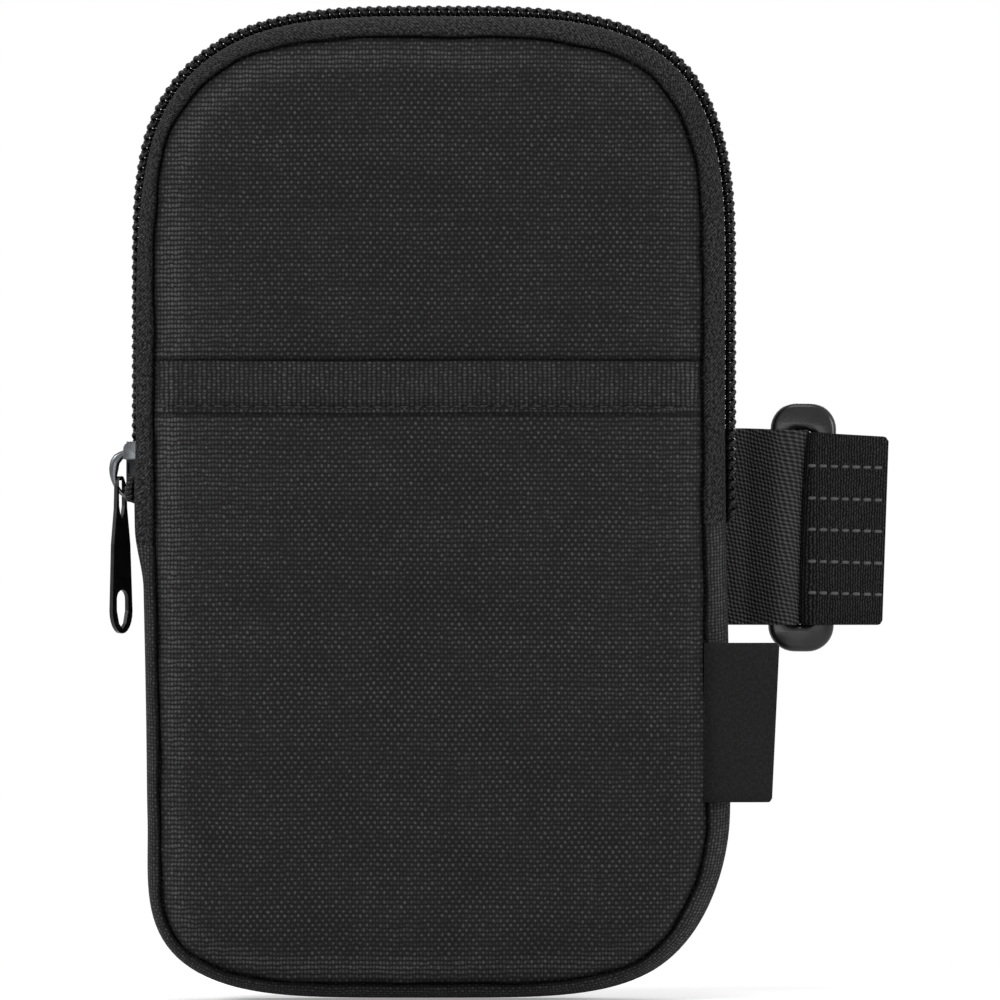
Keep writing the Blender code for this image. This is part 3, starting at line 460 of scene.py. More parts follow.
def band_ring(profile, thickness):
    """A closed ring round a profile: the outer line, a round edge, the inner line and an edge."""
    tangent, inward = directions(profile)
    inner = profile + inward * thickness
    far = profile[-1] + inward[-1] * thickness / 2 + tangent[-1] * thickness * 0.4
    near = profile[0] + inward[0] * thickness / 2 - tangent[0] * thickness * 0.4
    ring = np.concatenate([profile, [far], inner[::-1], [near]])
    steps = np.linalg.norm(np.diff(ring, axis=0), axis=1)
    return ring, np.concatenate([[0], np.cumsum(steps)])


def wall_strip(name, start, end, profile, thickness, material, step=WALL_STEP, wave=0.0):
    """A strip of side wall between two places along the outline."""
    ring, marks = band_ring(profile, thickness)
    places = np.linspace(start, end, max(2, round((end - start) / step)) + 1)
    distance = np.repeat(places[:, None], len(ring), 1)
    inset = np.repeat(ring[None, :, 0], len(places), 0)
    if wave:
        ripple = np.sin(distance / (2.3 * MM)) * np.sin(distance / (7.1 * MM) + 1.0)
        seam = np.exp(-(((ring[:, 1] + FRONT_SEAM_DEPTH) / (2.5 * MM)) ** 2))
        inset = inset - wave * ripple * seam[None, :]
    y = np.repeat(ring[None, :, 1], len(places), 0)
    points = wall_points(distance, inset, y)
    return mark_seams(skin(name, points, ring_uvs(points, places, marks), material))


def flat_ribbon(name, path, thickness, low_z, high_z, material, divisions=10, bend=None):
    """A flat band on edge that follows a path in plan, with its long edges rounded."""
    path = np.asarray(path, float)
    left = directions(path)[1]
    half = thickness / 2
    edge = thickness * 0.35
    heights = np.linspace(low_z + edge, high_z - edge, divisions + 1)
    ring = [(half, z) for z in heights]
    ring += [(half * 0.6, high_z), (-half * 0.6, high_z)]
    ring += [(-half, z) for z in heights[::-1]]
    ring += [(-half * 0.6, low_z), (half * 0.6, low_z)]
    ring = np.array(ring)
    points = np.zeros((len(path), len(ring), 3))
    points[:, :, :2] = path[:, None, :] - left[:, None, :] * ring[None, :, 0, None]
    points[:, :, 2] = ring[None, :, 1]
    if bend is not None:
        points = bend(points)
    run = np.concatenate([[0], np.cumsum(np.linalg.norm(np.diff(path, axis=0), axis=1))])
    uvs = np.zeros((len(path) + 1, len(ring) + 1, 2))
    uvs[:, :, 0] = np.append(run, run[-1])[:, None]
    uvs[:, :, 1] = np.append(ring[:, 1], ring[0, 1])[None, :]
    return skin(name, points, uvs, material)


def solid_from(thing, thickness):
    """Gives an open sheet its thickness and leaves a plain mesh."""
    wall = thing.modifiers.new("wall", "SOLIDIFY")
    wall.thickness = thickness
    wall.offset = -1.0
    wall.use_even_offset = False
    return apply_modifiers(thing)


def plain_mesh(thing):
    """What a thing and its modifiers make, as a mesh of its own."""
    graph = bpy.context.evaluated_depsgraph_get()
    graph.update()
    return bpy.data.meshes.new_from_object(thing.evaluated_get(graph))


def apply_modifiers(thing):
    """Turns a thing with modifiers into a plain mesh."""
    mesh = plain_mesh(thing)
    thing.modifiers.clear()
    thing.data = mesh
    return thing


def cut_above(thing, height):
    """Cuts an open sheet off at a height."""
    with edited(thing.data) as build:
        parts = build.verts[:] + build.edges[:] + build.faces[:]
        spot, up = (0, 0, height), (0, 0, 1)
        bmesh.ops.bisect_plane(build, geom=parts, plane_co=spot, plane_no=up, clear_outer=True)
    return thing


# An end this far to the right has no round corners
SQUARE_ENDS = 1.0


def reshaped(low, high, new_low, new_high, end_x, corner):
    """A bend for flat_ribbon: new edges that vary with x, and round corners at the far end."""

    def bend(points):
        x, z = points[:, :, 0], points[:, :, 2]
        share = (z - low) / (high - low)
        over = np.clip((x - (end_x - corner)) / corner, 0.0, 1.0)
        round_off = corner * (1 - np.sqrt(1 - over**2 * 0.98))
        bottom, top = new_low(x) + round_off, new_high(x) - round_off
        points[:, :, 2] = bottom + share * (top - bottom)
        return points

    return bend


# The crowned front


def crown_depth(inset):
    """How far the padded front stands out at this distance from its seam."""
    share = np.clip(inset / CROWN_REACH, 0.0, 1.0)
    return CROWN * np.sin(share * math.pi / 2) ** 0.8


def front_relief(x, z):
    """Soft unevenness of the padded front, forward positive."""
    x, z = x / MM, z / MM
    broad = 0.22 * np.sin(x / 17 + 0.6) * np.sin(z / 29 + 0.4)
    narrow = 0.10 * np.sin(x / 9.5 - z / 21 + 1.0) + 0.06 * np.sin(x / 6.1 + z / 8.3)
    return (broad + narrow) * MM


# The front's cloth from its seam in: inset and depth in millimetres
FRONT_EDGE = (
    (3.85, -19.6),
    (3.78, -20.4),
    (3.95, -21.25),
    (4.4, -21.9),
    (5.2, -22.55),
    (6.4, -23.15),
    (8.0, -23.75),
    (10.0, -24.25),
    (12.5, -24.62),
    (15.0, -24.8),
)
# The seam allowance behind the wall's turned edge, which shuts the seam from inside
FRONT_ALLOWANCE = ((2.5, -19.15), (3.3, -19.2))

# The wall's edge as it curls into the rear and the front seam: inset and depth in millimetres
REAR_CURL = ((4.1, -2.4), (3.75, -1.55), (3.3, -1.15), (2.4, -1.6), (1.02, -3.4), (0.25, -4.8), (0.0, -6.3))
FRONT_CURL = (
    (0.0, -15.6),
    (0.25, -17.0),
    (1.1, -18.8),
    (2.1, -20.2),
    (2.95, -20.95),
    (3.35, -20.75),
    (3.45, -19.9),
)


def front_sheet(name, profile, lift, material, pucker=0.0, unevenness=1.0):
    """An open sheet over the whole front: rings from the seam in, then on to the middle."""
    around = np.linspace(0, OUTLINE.length, SHEET_STEPS, endpoint=False)
    profile = spline(np.array(profile) * MM, 2)
    rows = []
    for inset, y in profile:
        drift = seam_drift(around, inset) * unevenness
        flat = OUTLINE.place(around) - OUTLINE.outward(around) * (inset + drift)[:, None]
        flat = flat + np.array([FRONT_SHIFT_X, FRONT_SHIFT_Z])
        raise_by = lift * smooth_step((inset / MM - 3.8) / 2.5)
        ripple = np.sin(around / (1.25 * MM) + 1.5 * np.sin(around / (7 * MM)))
        ripple *= pucker * np.exp(-(((inset / MM - 6.0) / 2.0) ** 2))
        rows.append(np.stack([flat[:, 0], y - raise_by - ripple, flat[:, 1]], 1))
    rim = rows[-1]
    for share in np.linspace(0, 1, SHEET_ROWS + 1)[1:-1]:
        row = rim.copy()
        row[:, 0] += (SHEET_MIDDLE[0] - rim[:, 0]) * share
        row[:, 2] += (SHEET_MIDDLE[1] - rim[:, 2]) * share
        rows.append(row)
    points = np.array(rows)
    fade = np.concatenate([smooth_step((profile[:, 0] / MM - 5) / 8), np.ones(len(rows) - len(profile))])
    points[:, :, 1] -= front_relief(points[:, :, 0], points[:, :, 2]) * fade[:, None] * unevenness
    thing = skin(name, points, face_uvs(points), material)
    with edited(thing.data) as build:
        caps = [face for face in build.faces if len(face.verts) > 4]
        outer = max(caps, key=lambda face: face.calc_area())
        inner = min(caps, key=lambda face: face.calc_area())
        bmesh.ops.poke(build, faces=[inner])
        bmesh.ops.delete(build, geom=[outer], context="FACES_ONLY")
        layer = build.loops.layers.uv.active
        for face in build.faces:
            for loop in face.loops:
                loop[layer].uv = (loop.vert.co.x, loop.vert.co.z)
        if sum(face.normal.y * face.calc_area() for face in build.faces) > 0:
            bmesh.ops.reverse_faces(build, faces=build.faces)
    return thing


def face_uvs(points):
    """UVs for skin that are each point's own x and z, as the weave of a flat panel lies."""
    uvs = np.zeros((points.shape[0] + 1, points.shape[1] + 1, 2))
    uvs[:-1, :-1] = points[:, :, (0, 2)]
    uvs[:-1, -1] = points[:, 0][:, (0, 2)]
    uvs[-1] = uvs[-2]
    return uvs


# Materials


class Wires:
    """Short ways to add nodes to a tree."""

    def __init__(self, tree):
        self.tree = tree

    def node(self, kind, **values):
        made = self.tree.nodes.new(kind)
        for key, value in values.items():
            setattr(made, key, value)
        return made

    def put(self, socket, value):
        if isinstance(value, bpy.types.NodeSocket):
            self.tree.links.new(value, socket)
        else:
            socket.default_value = value

    def math(self, operation, *values, clamp=False):
        made = self.node("ShaderNodeMath", operation=operation, use_clamp=clamp)
        for socket, value in zip(made.inputs, values):
            self.put(socket, value)
        return made.outputs[0]

    def plus(self, a, b, clamp=False):
        return self.math("ADD", a, b, clamp=clamp)

    def minus(self, a, b, clamp=False):
        return self.math("SUBTRACT", a, b, clamp=clamp)

    def times(self, a, b, clamp=False):
        return self.math("MULTIPLY", a, b, clamp=clamp)

    def over(self, a, b, clamp=False):
        return self.math("DIVIDE", a, b, clamp=clamp)

    def mix(self, share, low, high):
        made = self.node("ShaderNodeMix", data_type="RGBA")
        self.put(made.inputs[0], share)
        self.put(made.inputs[6], low)
        self.put(made.inputs[7], high)
        return made.outputs[2]

    def noise(self, vector, scale, detail=2.0, roughness=0.5):
        made = self.node("ShaderNodeTexNoise")
        self.put(made.inputs["Vector"], vector)
        self.put(made.inputs["Scale"], scale)
        self.put(made.inputs["Detail"], detail)
        self.put(made.inputs["Roughness"], roughness)
        return made.outputs["Fac"]

    def split(self, vector):
        made = self.node("ShaderNodeSeparateXYZ")
        self.put(made.inputs[0], vector)
        return made.outputs[0], made.outputs[1], made.outputs[2]

    def join(self, x, y, z=0.0):
        made = self.node("ShaderNodeCombineXYZ")
        for socket, value in zip(made.inputs, (x, y, z)):
            self.put(socket, value)
        return made.outputs[0]


def built_once(name):
    """Lets a function build a node tree of this name once, and gives that tree from then on."""

    def wrap(build):
        return lambda: bpy.data.node_groups.get(name) or build(name)

    return wrap


def start_group(name, numbers, outputs):
    """A node group with a Place vector, some number inputs and some number outputs."""
    tree = bpy.data.node_groups.new(name, "ShaderNodeTree")
    tree.interface.new_socket("Place", in_out="INPUT", socket_type="NodeSocketVector")
    for label, value in numbers:
        socket = tree.interface.new_socket(label, in_out="INPUT", socket_type="NodeSocketFloat")
        socket.default_value = value
    for label in outputs:
        tree.interface.new_socket(label, in_out="OUTPUT", socket_type="NodeSocketFloat")
    wires = Wires(tree)
    return tree, wires, wires.node("NodeGroupInput").outputs, wires.node("NodeGroupOutput").inputs


@built_once("Plain weave")
def weave_group(name):
    """Plain weave: Raised is 1 on the yarns that show light, Height is the relief."""
    numbers = (("Across", 0.67 * MM), ("Along", 0.91 * MM), ("Unevenness", 0.8), ("Under", 0.3))
    tree, w, given, out = start_group(name, numbers, ("Raised", "Height"))
    x, y, _ = w.split(given["Place"])
    drift = w.minus(w.noise(given["Place"], 480.0, 2.0), 0.5)
    drift = w.times(drift, given["Unevenness"])
    slow = w.minus(w.noise(given["Place"], 35.0, 1.0), 0.5)
    u = w.plus(w.over(x, given["Across"]), w.plus(drift, slow))
    v = w.plus(w.over(y, given["Along"]), w.minus(slow, drift))
    across = w.math("SINE", w.times(u, math.pi))
    along = w.math("SINE", w.times(v, math.pi))
    weft_over = w.math("GREATER_THAN", w.times(across, along), 0.0)
    warp_over = w.minus(1.0, weft_over)
    across, along = w.math("ABSOLUTE", across), w.math("ABSOLUTE", along)
    weft = w.times(w.math("POWER", across, 0.8), w.math("POWER", along, 1.9))
    warp = w.times(w.math("POWER", across, 0.8), w.math("POWER", along, 1.4))
    over = w.times(weft, weft_over)
    under = w.times(warp, warp_over)
    cell = w.node("ShaderNodeTexWhiteNoise", noise_dimensions="2D")
    w.put(cell.inputs["Vector"], w.join(w.math("FLOOR", u), w.math("FLOOR", v)))
    yarn = w.node("ShaderNodeTexWhiteNoise", noise_dimensions="1D")
    w.put(yarn.inputs["W"], w.math("FLOOR", v))
    by_cell = w.times(cell.outputs["Value"], 0.7)
    vary = w.plus(by_cell, w.times(yarn.outputs["Value"], 0.3))
    region = w.times(w.minus(w.noise(given["Place"], 70.0, 2.0), 0.3), 1.6, clamp=True)
    share_under = w.plus(w.times(region, 0.4), given["Under"])
    shown = w.plus(over, w.times(under, share_under))
    fibre = w.plus(w.times(w.noise(given["Place"], 1900.0, 3.0, 0.7), 1.9), -0.2)
    raised = w.times(w.times(shown, fibre), w.plus(vary, 0.45), clamp=True)
    w.put(out["Raised"], raised)
    w.put(out["Height"], w.plus(over, w.times(under, 0.6)))
    return tree


@built_once("Twill")
def twill_group(name):
    """Fine slanting ribs, as on zip tape."""
    numbers = (("Across", 0.77 * MM), ("Along", 0.9 * MM), ("Slant", 1.0))
    tree, w, given, out = start_group(name, numbers, ("Raised", "Height"))
    x, y, _ = w.split(given["Place"])
    u, v = w.over(x, given["Across"]), w.over(y, given["Along"])
    wobble = w.times(w.minus(w.noise(given["Place"], 900.0, 1.0), 0.5), 0.9)
    phase = w.plus(w.plus(u, w.times(v, given["Slant"])), wobble)
    rib = w.math("SINE", w.times(phase, 2 * math.pi))
    cross = w.math("SINE", w.times(w.minus(w.times(u, 2.0), v), 2 * math.pi))
    both = w.plus(w.times(rib, 0.2), w.times(cross, 0.16))
    height = w.plus(both, 0.5, clamp=True)
    grain = w.minus(w.noise(given["Place"], 1500.0, 3.0, 0.7), 0.42)
    grain = w.times(grain, 5.0, clamp=True)
    raised = w.times(w.math("POWER", height, 1.2), w.plus(grain, 0.1), clamp=True)
    w.put(out["Raised"], raised)
    w.put(out["Height"], w.plus(height, w.times(grain, 0.3)))
    return tree


@built_once("Elastic crepe")
def crepe_group(name):
    """The crinkled face of an elastic band: ribs across its length, broken by short yarns."""
    numbers = (("Rib", 1.05 * MM), ("Yarn", 0.79 * MM))
    tree, w, given, out = start_group(name, numbers, ("Raised", "Height"))
    x, y, _ = w.split(given["Place"])
    wobble = w.minus(w.noise(given["Place"], 520.0, 2.0, 0.7), 0.5)
    u = w.plus(w.over(x, given["Rib"]), w.times(wobble, 0.7))
    v = w.plus(w.over(y, given["Yarn"]), w.times(wobble, 2.2))
    rib = w.math("COSINE", w.times(u, 2 * math.pi))
    yarn = w.times(rib, w.math("COSINE", w.times(v, 2 * math.pi)))
    half = w.math("COSINE", w.times(u, 4 * math.pi))
    both = w.plus(w.times(half, 0.36), w.times(yarn, 0.2))
    loose = w.times(w.minus(w.noise(given["Place"], 1500.0, 2.0, 0.7), 0.5), 1.1)
    height = w.plus(w.plus(both, loose), 0.45, clamp=True)
    w.put(out["Raised"], w.math("POWER", height, 1.7))
    w.put(out["Height"], height)
    return tree


@built_once("Webbing weave")
def webbing_group(name):
    """Heavy webbing: rows of short floats, each row a little lower than the last column's."""
    numbers = (("Float", 0.79 * MM), ("Row", 0.79 * MM))
    tree, w, given, out = start_group(name, numbers, ("Raised", "Height"))
    x, y, _ = w.split(given["Place"])
    wobble = w.times(w.minus(w.noise(given["Place"], 420.0, 2.0), 0.5), 0.5)
    u = w.plus(w.over(x, given["Float"]), wobble)
    v = w.plus(w.plus(w.over(y, given["Row"]), w.times(u, 0.25)), wobble)
    rows = w.math("COSINE", w.times(v, 2 * math.pi))
    floats = w.math("COSINE", w.times(w.plus(u, w.times(v, 0.18)), 2 * math.pi))
    both = w.plus(w.times(rows, 0.36), w.times(floats, 0.24))
    height = w.plus(both, 0.42, clamp=True)
    w.put(out["Raised"], w.math("POWER", height, 1.4))
    w.put(out["Height"], height)
    return tree


@built_once("Beside a seam")
def seam_group(name):
    """Shade darkens cloth right beside a seam; Shine lights the rolled cloth a little further in."""
    tree, w, given, out = start_group(name, (("Distance", 10.0),), ("Shade", "Shine"))
    stray = w.times(w.minus(w.noise(given["Place"], 650.0, 3.0, 0.7), 0.5), 2.2)
    gap = w.plus(given["Distance"], stray)
    near = w.over(w.minus(gap, 0.15), 1.5, clamp=True)
    w.put(out["Shade"], w.plus(w.times(near, 0.75), 0.25))
    band = w.over(w.minus(given["Distance"], 4.2), 2.4)
    w.put(out["Shine"], w.math("EXPONENT", w.times(w.times(band, band), -1.0)))
    return tree


@built_once("Fine grain")
def grain_group(name):
    """Fine moulded or lacquered grain, with broad soft wear."""
    tree, w, given, out = start_group(name, (("Scale", 900.0),), ("Grain", "Wear"))
    w.put(out["Grain"], w.noise(given["Place"], given["Scale"], 3.0, 0.6))
    broad = w.noise(given["Place"], w.times(given["Scale"], 0.12), 3.0, 0.6)
    w.put(out["Wear"], w.times(w.minus(broad, 0.35), 2.2, clamp=True))
    return tree


def start_material(name, roughness, specular=0.5, metallic=0.0):
    """A new material with its wires and shader, or the one that is there and no wires."""
    material = bpy.data.materials.get(name)
    if material:
        return material, None, None
    material = bpy.data.materials.new(name)
    material.use_nodes = True
    shader = material.node_tree.nodes["Principled BSDF"]
    shader.inputs["Roughness"].default_value = roughness
    shader.inputs["Specular IOR Level"].default_value = specular
    shader.inputs["Metallic"].default_value = metallic
    return material, Wires(material.node_tree), shader


def placed(w, uv=True, turned=False):
    """The cloth's own UVs in metres, or the object's coordinates."""
    if not uv:
        return w.node("ShaderNodeTexCoord").outputs["Object"]
    spot = w.node("ShaderNodeUVMap", uv_map="cloth").outputs["UV"]
    if not turned:
        return spot
    x, y, z = w.split(spot)
    return w.join(y, x, z)


def use_group(w, tree, place, **numbers):
    """Adds a node group to a material and gives its outputs."""
    made = w.node("ShaderNodeGroup")
    made.node_tree = tree
    w.put(made.inputs["Place"], place)
    for key, value in numbers.items():
        w.put(made.inputs[key.replace("_", " ")], value)
    return made.outputs


def bumped(w, shader, height, depth):
    """Lets a height move the surface's shading."""
    bump = w.node("ShaderNodeBump")
    bump.inputs["Strength"].default_value = 1.0
    bump.inputs["Distance"].default_value = depth
    w.put(bump.inputs["Height"], height)
    w.put(shader.inputs["Normal"], bump.outputs["Normal"])


def cloth_material(
    name,
    tree,
    ground,
    raised,
    depth,
    roughness=0.85,
    specular=0.05,
    turned=False,
    seams=0.0,
    pulled=False,
    folds=(),
    **numbers,
):
    """A woven material: ground colour, raised yarns and relief from one of the weave groups.

    seams lights the cloth beside a seam; pulled paints more light toward the left seam
    and shows more under yarns beside it; each of folds is painted shade along a height, with its
    reach and strength."""
    material, w, shader = start_material(name, roughness, specular)
    if w is None:
        return material
    spot = placed(w, turned=turned)
    x, _, z = w.split(placed(w, uv=False))
    mottle = w.noise(spot, 90.0, 3.0)
    lift = w.plus(w.times(mottle, 0.7), 0.65)
    shade = 1.0
    if seams:
        distance = w.node("ShaderNodeAttribute", attribute_name="seam").outputs["Fac"]
        beside = use_group(w, seam_group(), spot, Distance=distance)
        shine, shade = beside["Shine"], beside["Shade"]
        # Painted light from the left: the seam's shine grows toward the left and fades toward the right, and
        # beside the left seam the raised yarns are lit more and more under yarns show.
        if pulled:
            side = w.minus(0.75, w.times(x, 7.0))
            shine = w.times(shine, side)
            beside_seam = w.times(bell(w, distance, 0.0, 19.0), side)
            gain = w.times(beside_seam, bell(w, z, 20 * MM, 48 * MM))
            lift = w.plus(lift, w.times(gain, 0.12))
            numbers["Under"] = w.plus(w.times(gain, 0.5), numbers["Under"])
        lift = w.plus(lift, w.times(shine, seams))
        if "Under" in numbers:
            numbers["Under"] = w.plus(w.times(shine, 0.5), numbers["Under"])
    # Painted shade: each line darkens the colour along one height.
    for height, reach, strength in folds:
        dark = w.times(bell(w, z, height, reach), strength)
        shade = w.times(w.minus(1.0, dark), shade)
    weave = use_group(w, tree, spot, **numbers)
    share = w.times(weave["Raised"], lift, clamp=True)
    colour = w.mix(share, (*ground, 1), (*raised, 1))
    w.put(shader.inputs["Base Color"], w.mix(shade, (0.001, 0.001, 0.001, 1), colour) if seams else colour)
    bumped(w, shader, weave["Height"], depth)
    return material


def bell(w, value, middle, reach):
    """1 at the middle, falling softly to 0 beyond the reach on both sides."""
    off = w.over(w.minus(value, middle), reach)
    return w.math("EXPONENT", w.times(w.times(off, off), -1.0))


def shade_of(colour, factor):
    """The same colour, lighter or darker by a factor."""
    return tuple(min(1.0, channel * factor) for channel in colour)


def woven_shell(name, ground=1.0, raised=1.0, depth=0.16 * MM, yarns=(1.0, 1.0), **values):
    """The pouch's own plain weave, with its two shades, relief and yarns as shares of the usual ones."""
    colours, sizes = bpy.context.scene.pouch_colours, bpy.context.scene.pouch_sizes
    values["Across"] = sizes.yarn_across * yarns[0]
    values["Along"] = sizes.yarn_along * yarns[1]
    low, high = shade_of(colours.cloth, ground), shade_of(colours.cloth_raised, raised)
    return cloth_material(name, weave_group(), low, high, depth, **values)


def shell_cloth():
    return woven_shell("shell cloth", seams=0.7, Under=0.15)


def front_cloth():
    """The shell's cloth on the front, with painted shade lines above and below the pocket's hem, and painted
    light toward the left seam.
    """
    folds = ((POCKET_TOP_Z + 0.35 * MM, 0.4 * MM, 0.8), (HEM_LOW_Z - 0.4 * MM, 0.45 * MM, 0.65))
    return woven_shell("front cloth", seams=0.45, pulled=True, folds=folds, Under=0.06)


def hem_cloth():
    """The shell's cloth turned a quarter, with painted shade lines at its stitches and its mouth."""
    folds = ((HEM_STITCH_Z, 0.5 * MM, 0.5), (POCKET_TOP_Z, 0.25 * MM, 0.5))
    finish = {"yarns": (0.95, 1.02), "turned": True, "seams": 0.3, "folds": folds, "Under": 0.35}
    return woven_shell("hem cloth", 0.95, 1.05, **finish)


def lining_cloth():
    colours = bpy.context.scene.pouch_colours
    low, high = shade_of(colours.cloth, 1.2), shade_of(colours.cloth_raised, 0.9)
    yarn = 0.35 * MM
    return cloth_material("lining cloth", weave_group(), low, high, 0.05 * MM, Across=yarn, Along=yarn)


def dyed_cloth(name, tree, colour, shades, depth, roughness=0.85, specular=0.05, **values):
    """A tape or band in one colour, whose ground and raised yarns are shades of it."""
    low, high = (shade_of(colour, shade) for shade in shades)
    return cloth_material(name, tree, low, high, depth, roughness, specular, **values)


def tape_cloth():
    tape = bpy.context.scene.pouch_colours.tape
    return dyed_cloth("tape twill", twill_group(), tape, (0.1, 5.2), 0.12 * MM, seams=0.1)


def binding_cloth():
    tape = bpy.context.scene.pouch_colours.tape
    shades, depth = (0.7, 2.8), 0.06 * MM
    return dyed_cloth("binding tape cloth", twill_group(), tape, shades, depth, specular=0.06, Slant=0.0)


def webbing_cloth():
    webbing = bpy.context.scene.pouch_colours.webbing
    return dyed_cloth("webbing weave", webbing_group(), webbing, (0.1, 5.5), 0.26 * MM, 0.6, 0.12)


def elastic_cloth():
    elastic = bpy.context.scene.pouch_colours.elastic
    return dyed_cloth("elastic crepe", crepe_group(), elastic, (0.2, 2.8), 0.14 * MM, specular=0.06)


def patch_cloth():
    low, high = (0.006, 0.006, 0.006), (0.028, 0.028, 0.028)
    yarn, depth = 0.9 * MM, 0.3 * MM
    tree = crepe_group()
    return cloth_material("hook and loop pile", tree, low, high, depth, 0.95, 0.1, Rib=yarn, Yarn=yarn)


def label_cloth():
    label = bpy.context.scene.pouch_colours.label
    numbers = {"Across": 0.4 * MM, "Along": 0.3 * MM, "Slant": 0.0}
    return dyed_cloth("label satin", twill_group(), label, (0.5, 1.35), 0.03 * MM, 0.6, 0.06, **numbers)


def grained(name, low, high, scale, depth, roughness, specular, metallic=0.0, worn_and_lit=None):
    """A spun, foamed, moulded or lacquered finish between two colours, with a fine grain.

    worn_and_lit gives how far wear changes the roughness, and from what; without it the grain sets the
    colour."""
    material, w, shader = start_material(name, roughness, specular, metallic)
    if w is None:
        return material
    grain = use_group(w, grain_group(), placed(w, uv=False), Scale=scale)
    w.put(shader.inputs["Base Color"], w.mix(grain["Wear" if worn_and_lit else "Grain"], (*low, 1), (*high, 1)))
    if worn_and_lit:
        reach, least = worn_and_lit
        w.put(shader.inputs["Roughness"], w.plus(w.times(grain["Wear"], reach), least))
    bumped(w, shader, grain["Grain"], depth)
    return material


def foam_look():
    return grained("padding foam", (0.11, 0.11, 0.115), (0.2, 0.2, 0.205), 1800.0, 0.2 * MM, 0.95, 0.1)


def thread_look():
    return grained("grey thread", (0.04, 0.04, 0.041), (0.085, 0.085, 0.087), 2500.0, 0.03 * MM, 0.6, 0.25)


def hem_thread():
    return grained("black thread", (0.004, 0.004, 0.004), (0.026, 0.026, 0.026), 2500.0, 0.03 * MM, 0.6, 0.25)


def coil_look():
    colour = bpy.context.scene.pouch_colours.coil
    high = shade_of(colour, 2.2)
    return grained("nylon coil", colour, high, 1500.0, 0.02 * MM, 0.3, 0.16, worn_and_lit=(0.16, 0.24))


def metal_look(name="gunmetal", factor=1.0):
    colour = shade_of(bpy.context.scene.pouch_colours.metal, factor)
    low, high = shade_of(colour, 0.8), shade_of(colour, 1.3)
    return grained(name, low, high, 1300.0, 0.012 * MM, 0.3, 0.5, 1.0, (0.14, 0.2))


def pull_look():
    colour = bpy.context.scene.pouch_colours.pull
    low, high = shade_of(colour, 0.8), shade_of(colour, 1.6)
    return grained("black lacquer", low, high, 1500.0, 0.01 * MM, 0.32, 0.5, 0.6, (0.12, 0.26))


def ring_look():
    colour = bpy.context.scene.pouch_colours.ring
    low, high = shade_of(colour, 0.85), shade_of(colour, 1.25)
    return grained("satin plastic", low, high, 1600.0, 0.015 * MM, 0.4, 0.28, worn_and_lit=(0.16, 0.17))


# Front, pocket, wall and back


def fit(thing, body, slot, *nodes):
    """Gives a finished piece its body and hides the solids that it stands for; the slot is not used."""
    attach(thing, body)
    if nodes:
        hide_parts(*nodes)


def fit_over_fold(thing, slot, *nodes):
    """Bakes the placing of a piece that runs over the opened front's fold line into its mesh, and hides the
    solids that it stands for.
    """
    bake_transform(thing)
    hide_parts(*nodes)


def make_front_skins():
    """The padded front: its cloth, foam and lining, all in one piece over the fold."""
    pucker = bpy.context.scene.pouch_sizes.pucker
    cover = front_sheet("front_cover", FRONT_ALLOWANCE + FRONT_EDGE, 0.0, front_cloth(), pucker)
    mark_seams(solid_from(cover, CLOTH))
    fit_over_fold(cover, "shell_fabric", "front_panel", "flap_panel")
    layers = (
        ("front_foam", ("front_padding", "flap_padding"), 1.35, FRONT_FOAM, foam_look(), "foam"),
        ("front_inner", ("front_lining", "flap_lining"), 2.85, LINING, lining_cloth(), "lining"),
    )
    for name, nodes, behind, thickness, material, slot in layers:
        insets = np.array([6.4, 7.4, 9.0, 11.0, 13.0, 15.0])
        depth = FRONT_SEAM_DEPTH + crown_depth(insets * MM - FRONT_SEAM_INSET)
        profile = np.stack([insets, -depth / MM + behind], 1)
        layer = solid_from(front_sheet(name, profile, 0.0, material), thickness)
        fit_over_fold(layer, slot, *nodes)


def make_pocket_skins():
    """The front pocket with its hem and the hem's stitches."""
    pucker = bpy.context.scene.pouch_sizes.pucker
    panel = front_sheet("pocket_cover", FRONT_EDGE, POCKET_LIFT, front_cloth(), pucker)
    cut_above(panel, POCKET_TOP_Z - 1.5 * MM)
    mark_seams(solid_from(panel, CLOTH))
    fit(panel, "root", "shell_fabric", "pocket_panel")
    hem = make_hem()
    fit(hem, "root", "shell_fabric", "pocket_binding")
    stitches = make_hem_stitches()
    fit(stitches, "root", "shell_fabric")


def front_line(z, start_inset):
    """Points across the front at one height: x, the depth of the front's face and the inset."""
    left = OUTLINE.place(OUTLINE.at_height(z, -1))[0] + FRONT_SHIFT_X
    right = OUTLINE.place(OUTLINE.at_height(z, 1))[0] + FRONT_SHIFT_X
    x = np.linspace(left + start_inset, right - start_inset, 161)
    inset = np.minimum(x - left, right - x)
    table = spline(np.array(FRONT_EDGE) * MM, 2)[2:]
    return x, np.interp(inset, table[:, 0], table[:, 1]), inset


def hem_lift(inset):
    """How far the hem stands off the front at this distance from the seam."""
    return HEM_FACE * smooth_step((inset / MM - 3.8) / 2.5)


def hem_pull(z):
    """How far the hem's face is drawn in beside its stitches."""
    return 0.28 * MM * np.exp(-(((z - HEM_STITCH_Z) / (0.7 * MM)) ** 2))


def hem_swell(z):
    """How full the hem is at a height, which fades out towards its lower edge."""
    return 0.66 + 0.34 * smooth_step((z - HEM_LOW_Z) / (3.2 * MM))


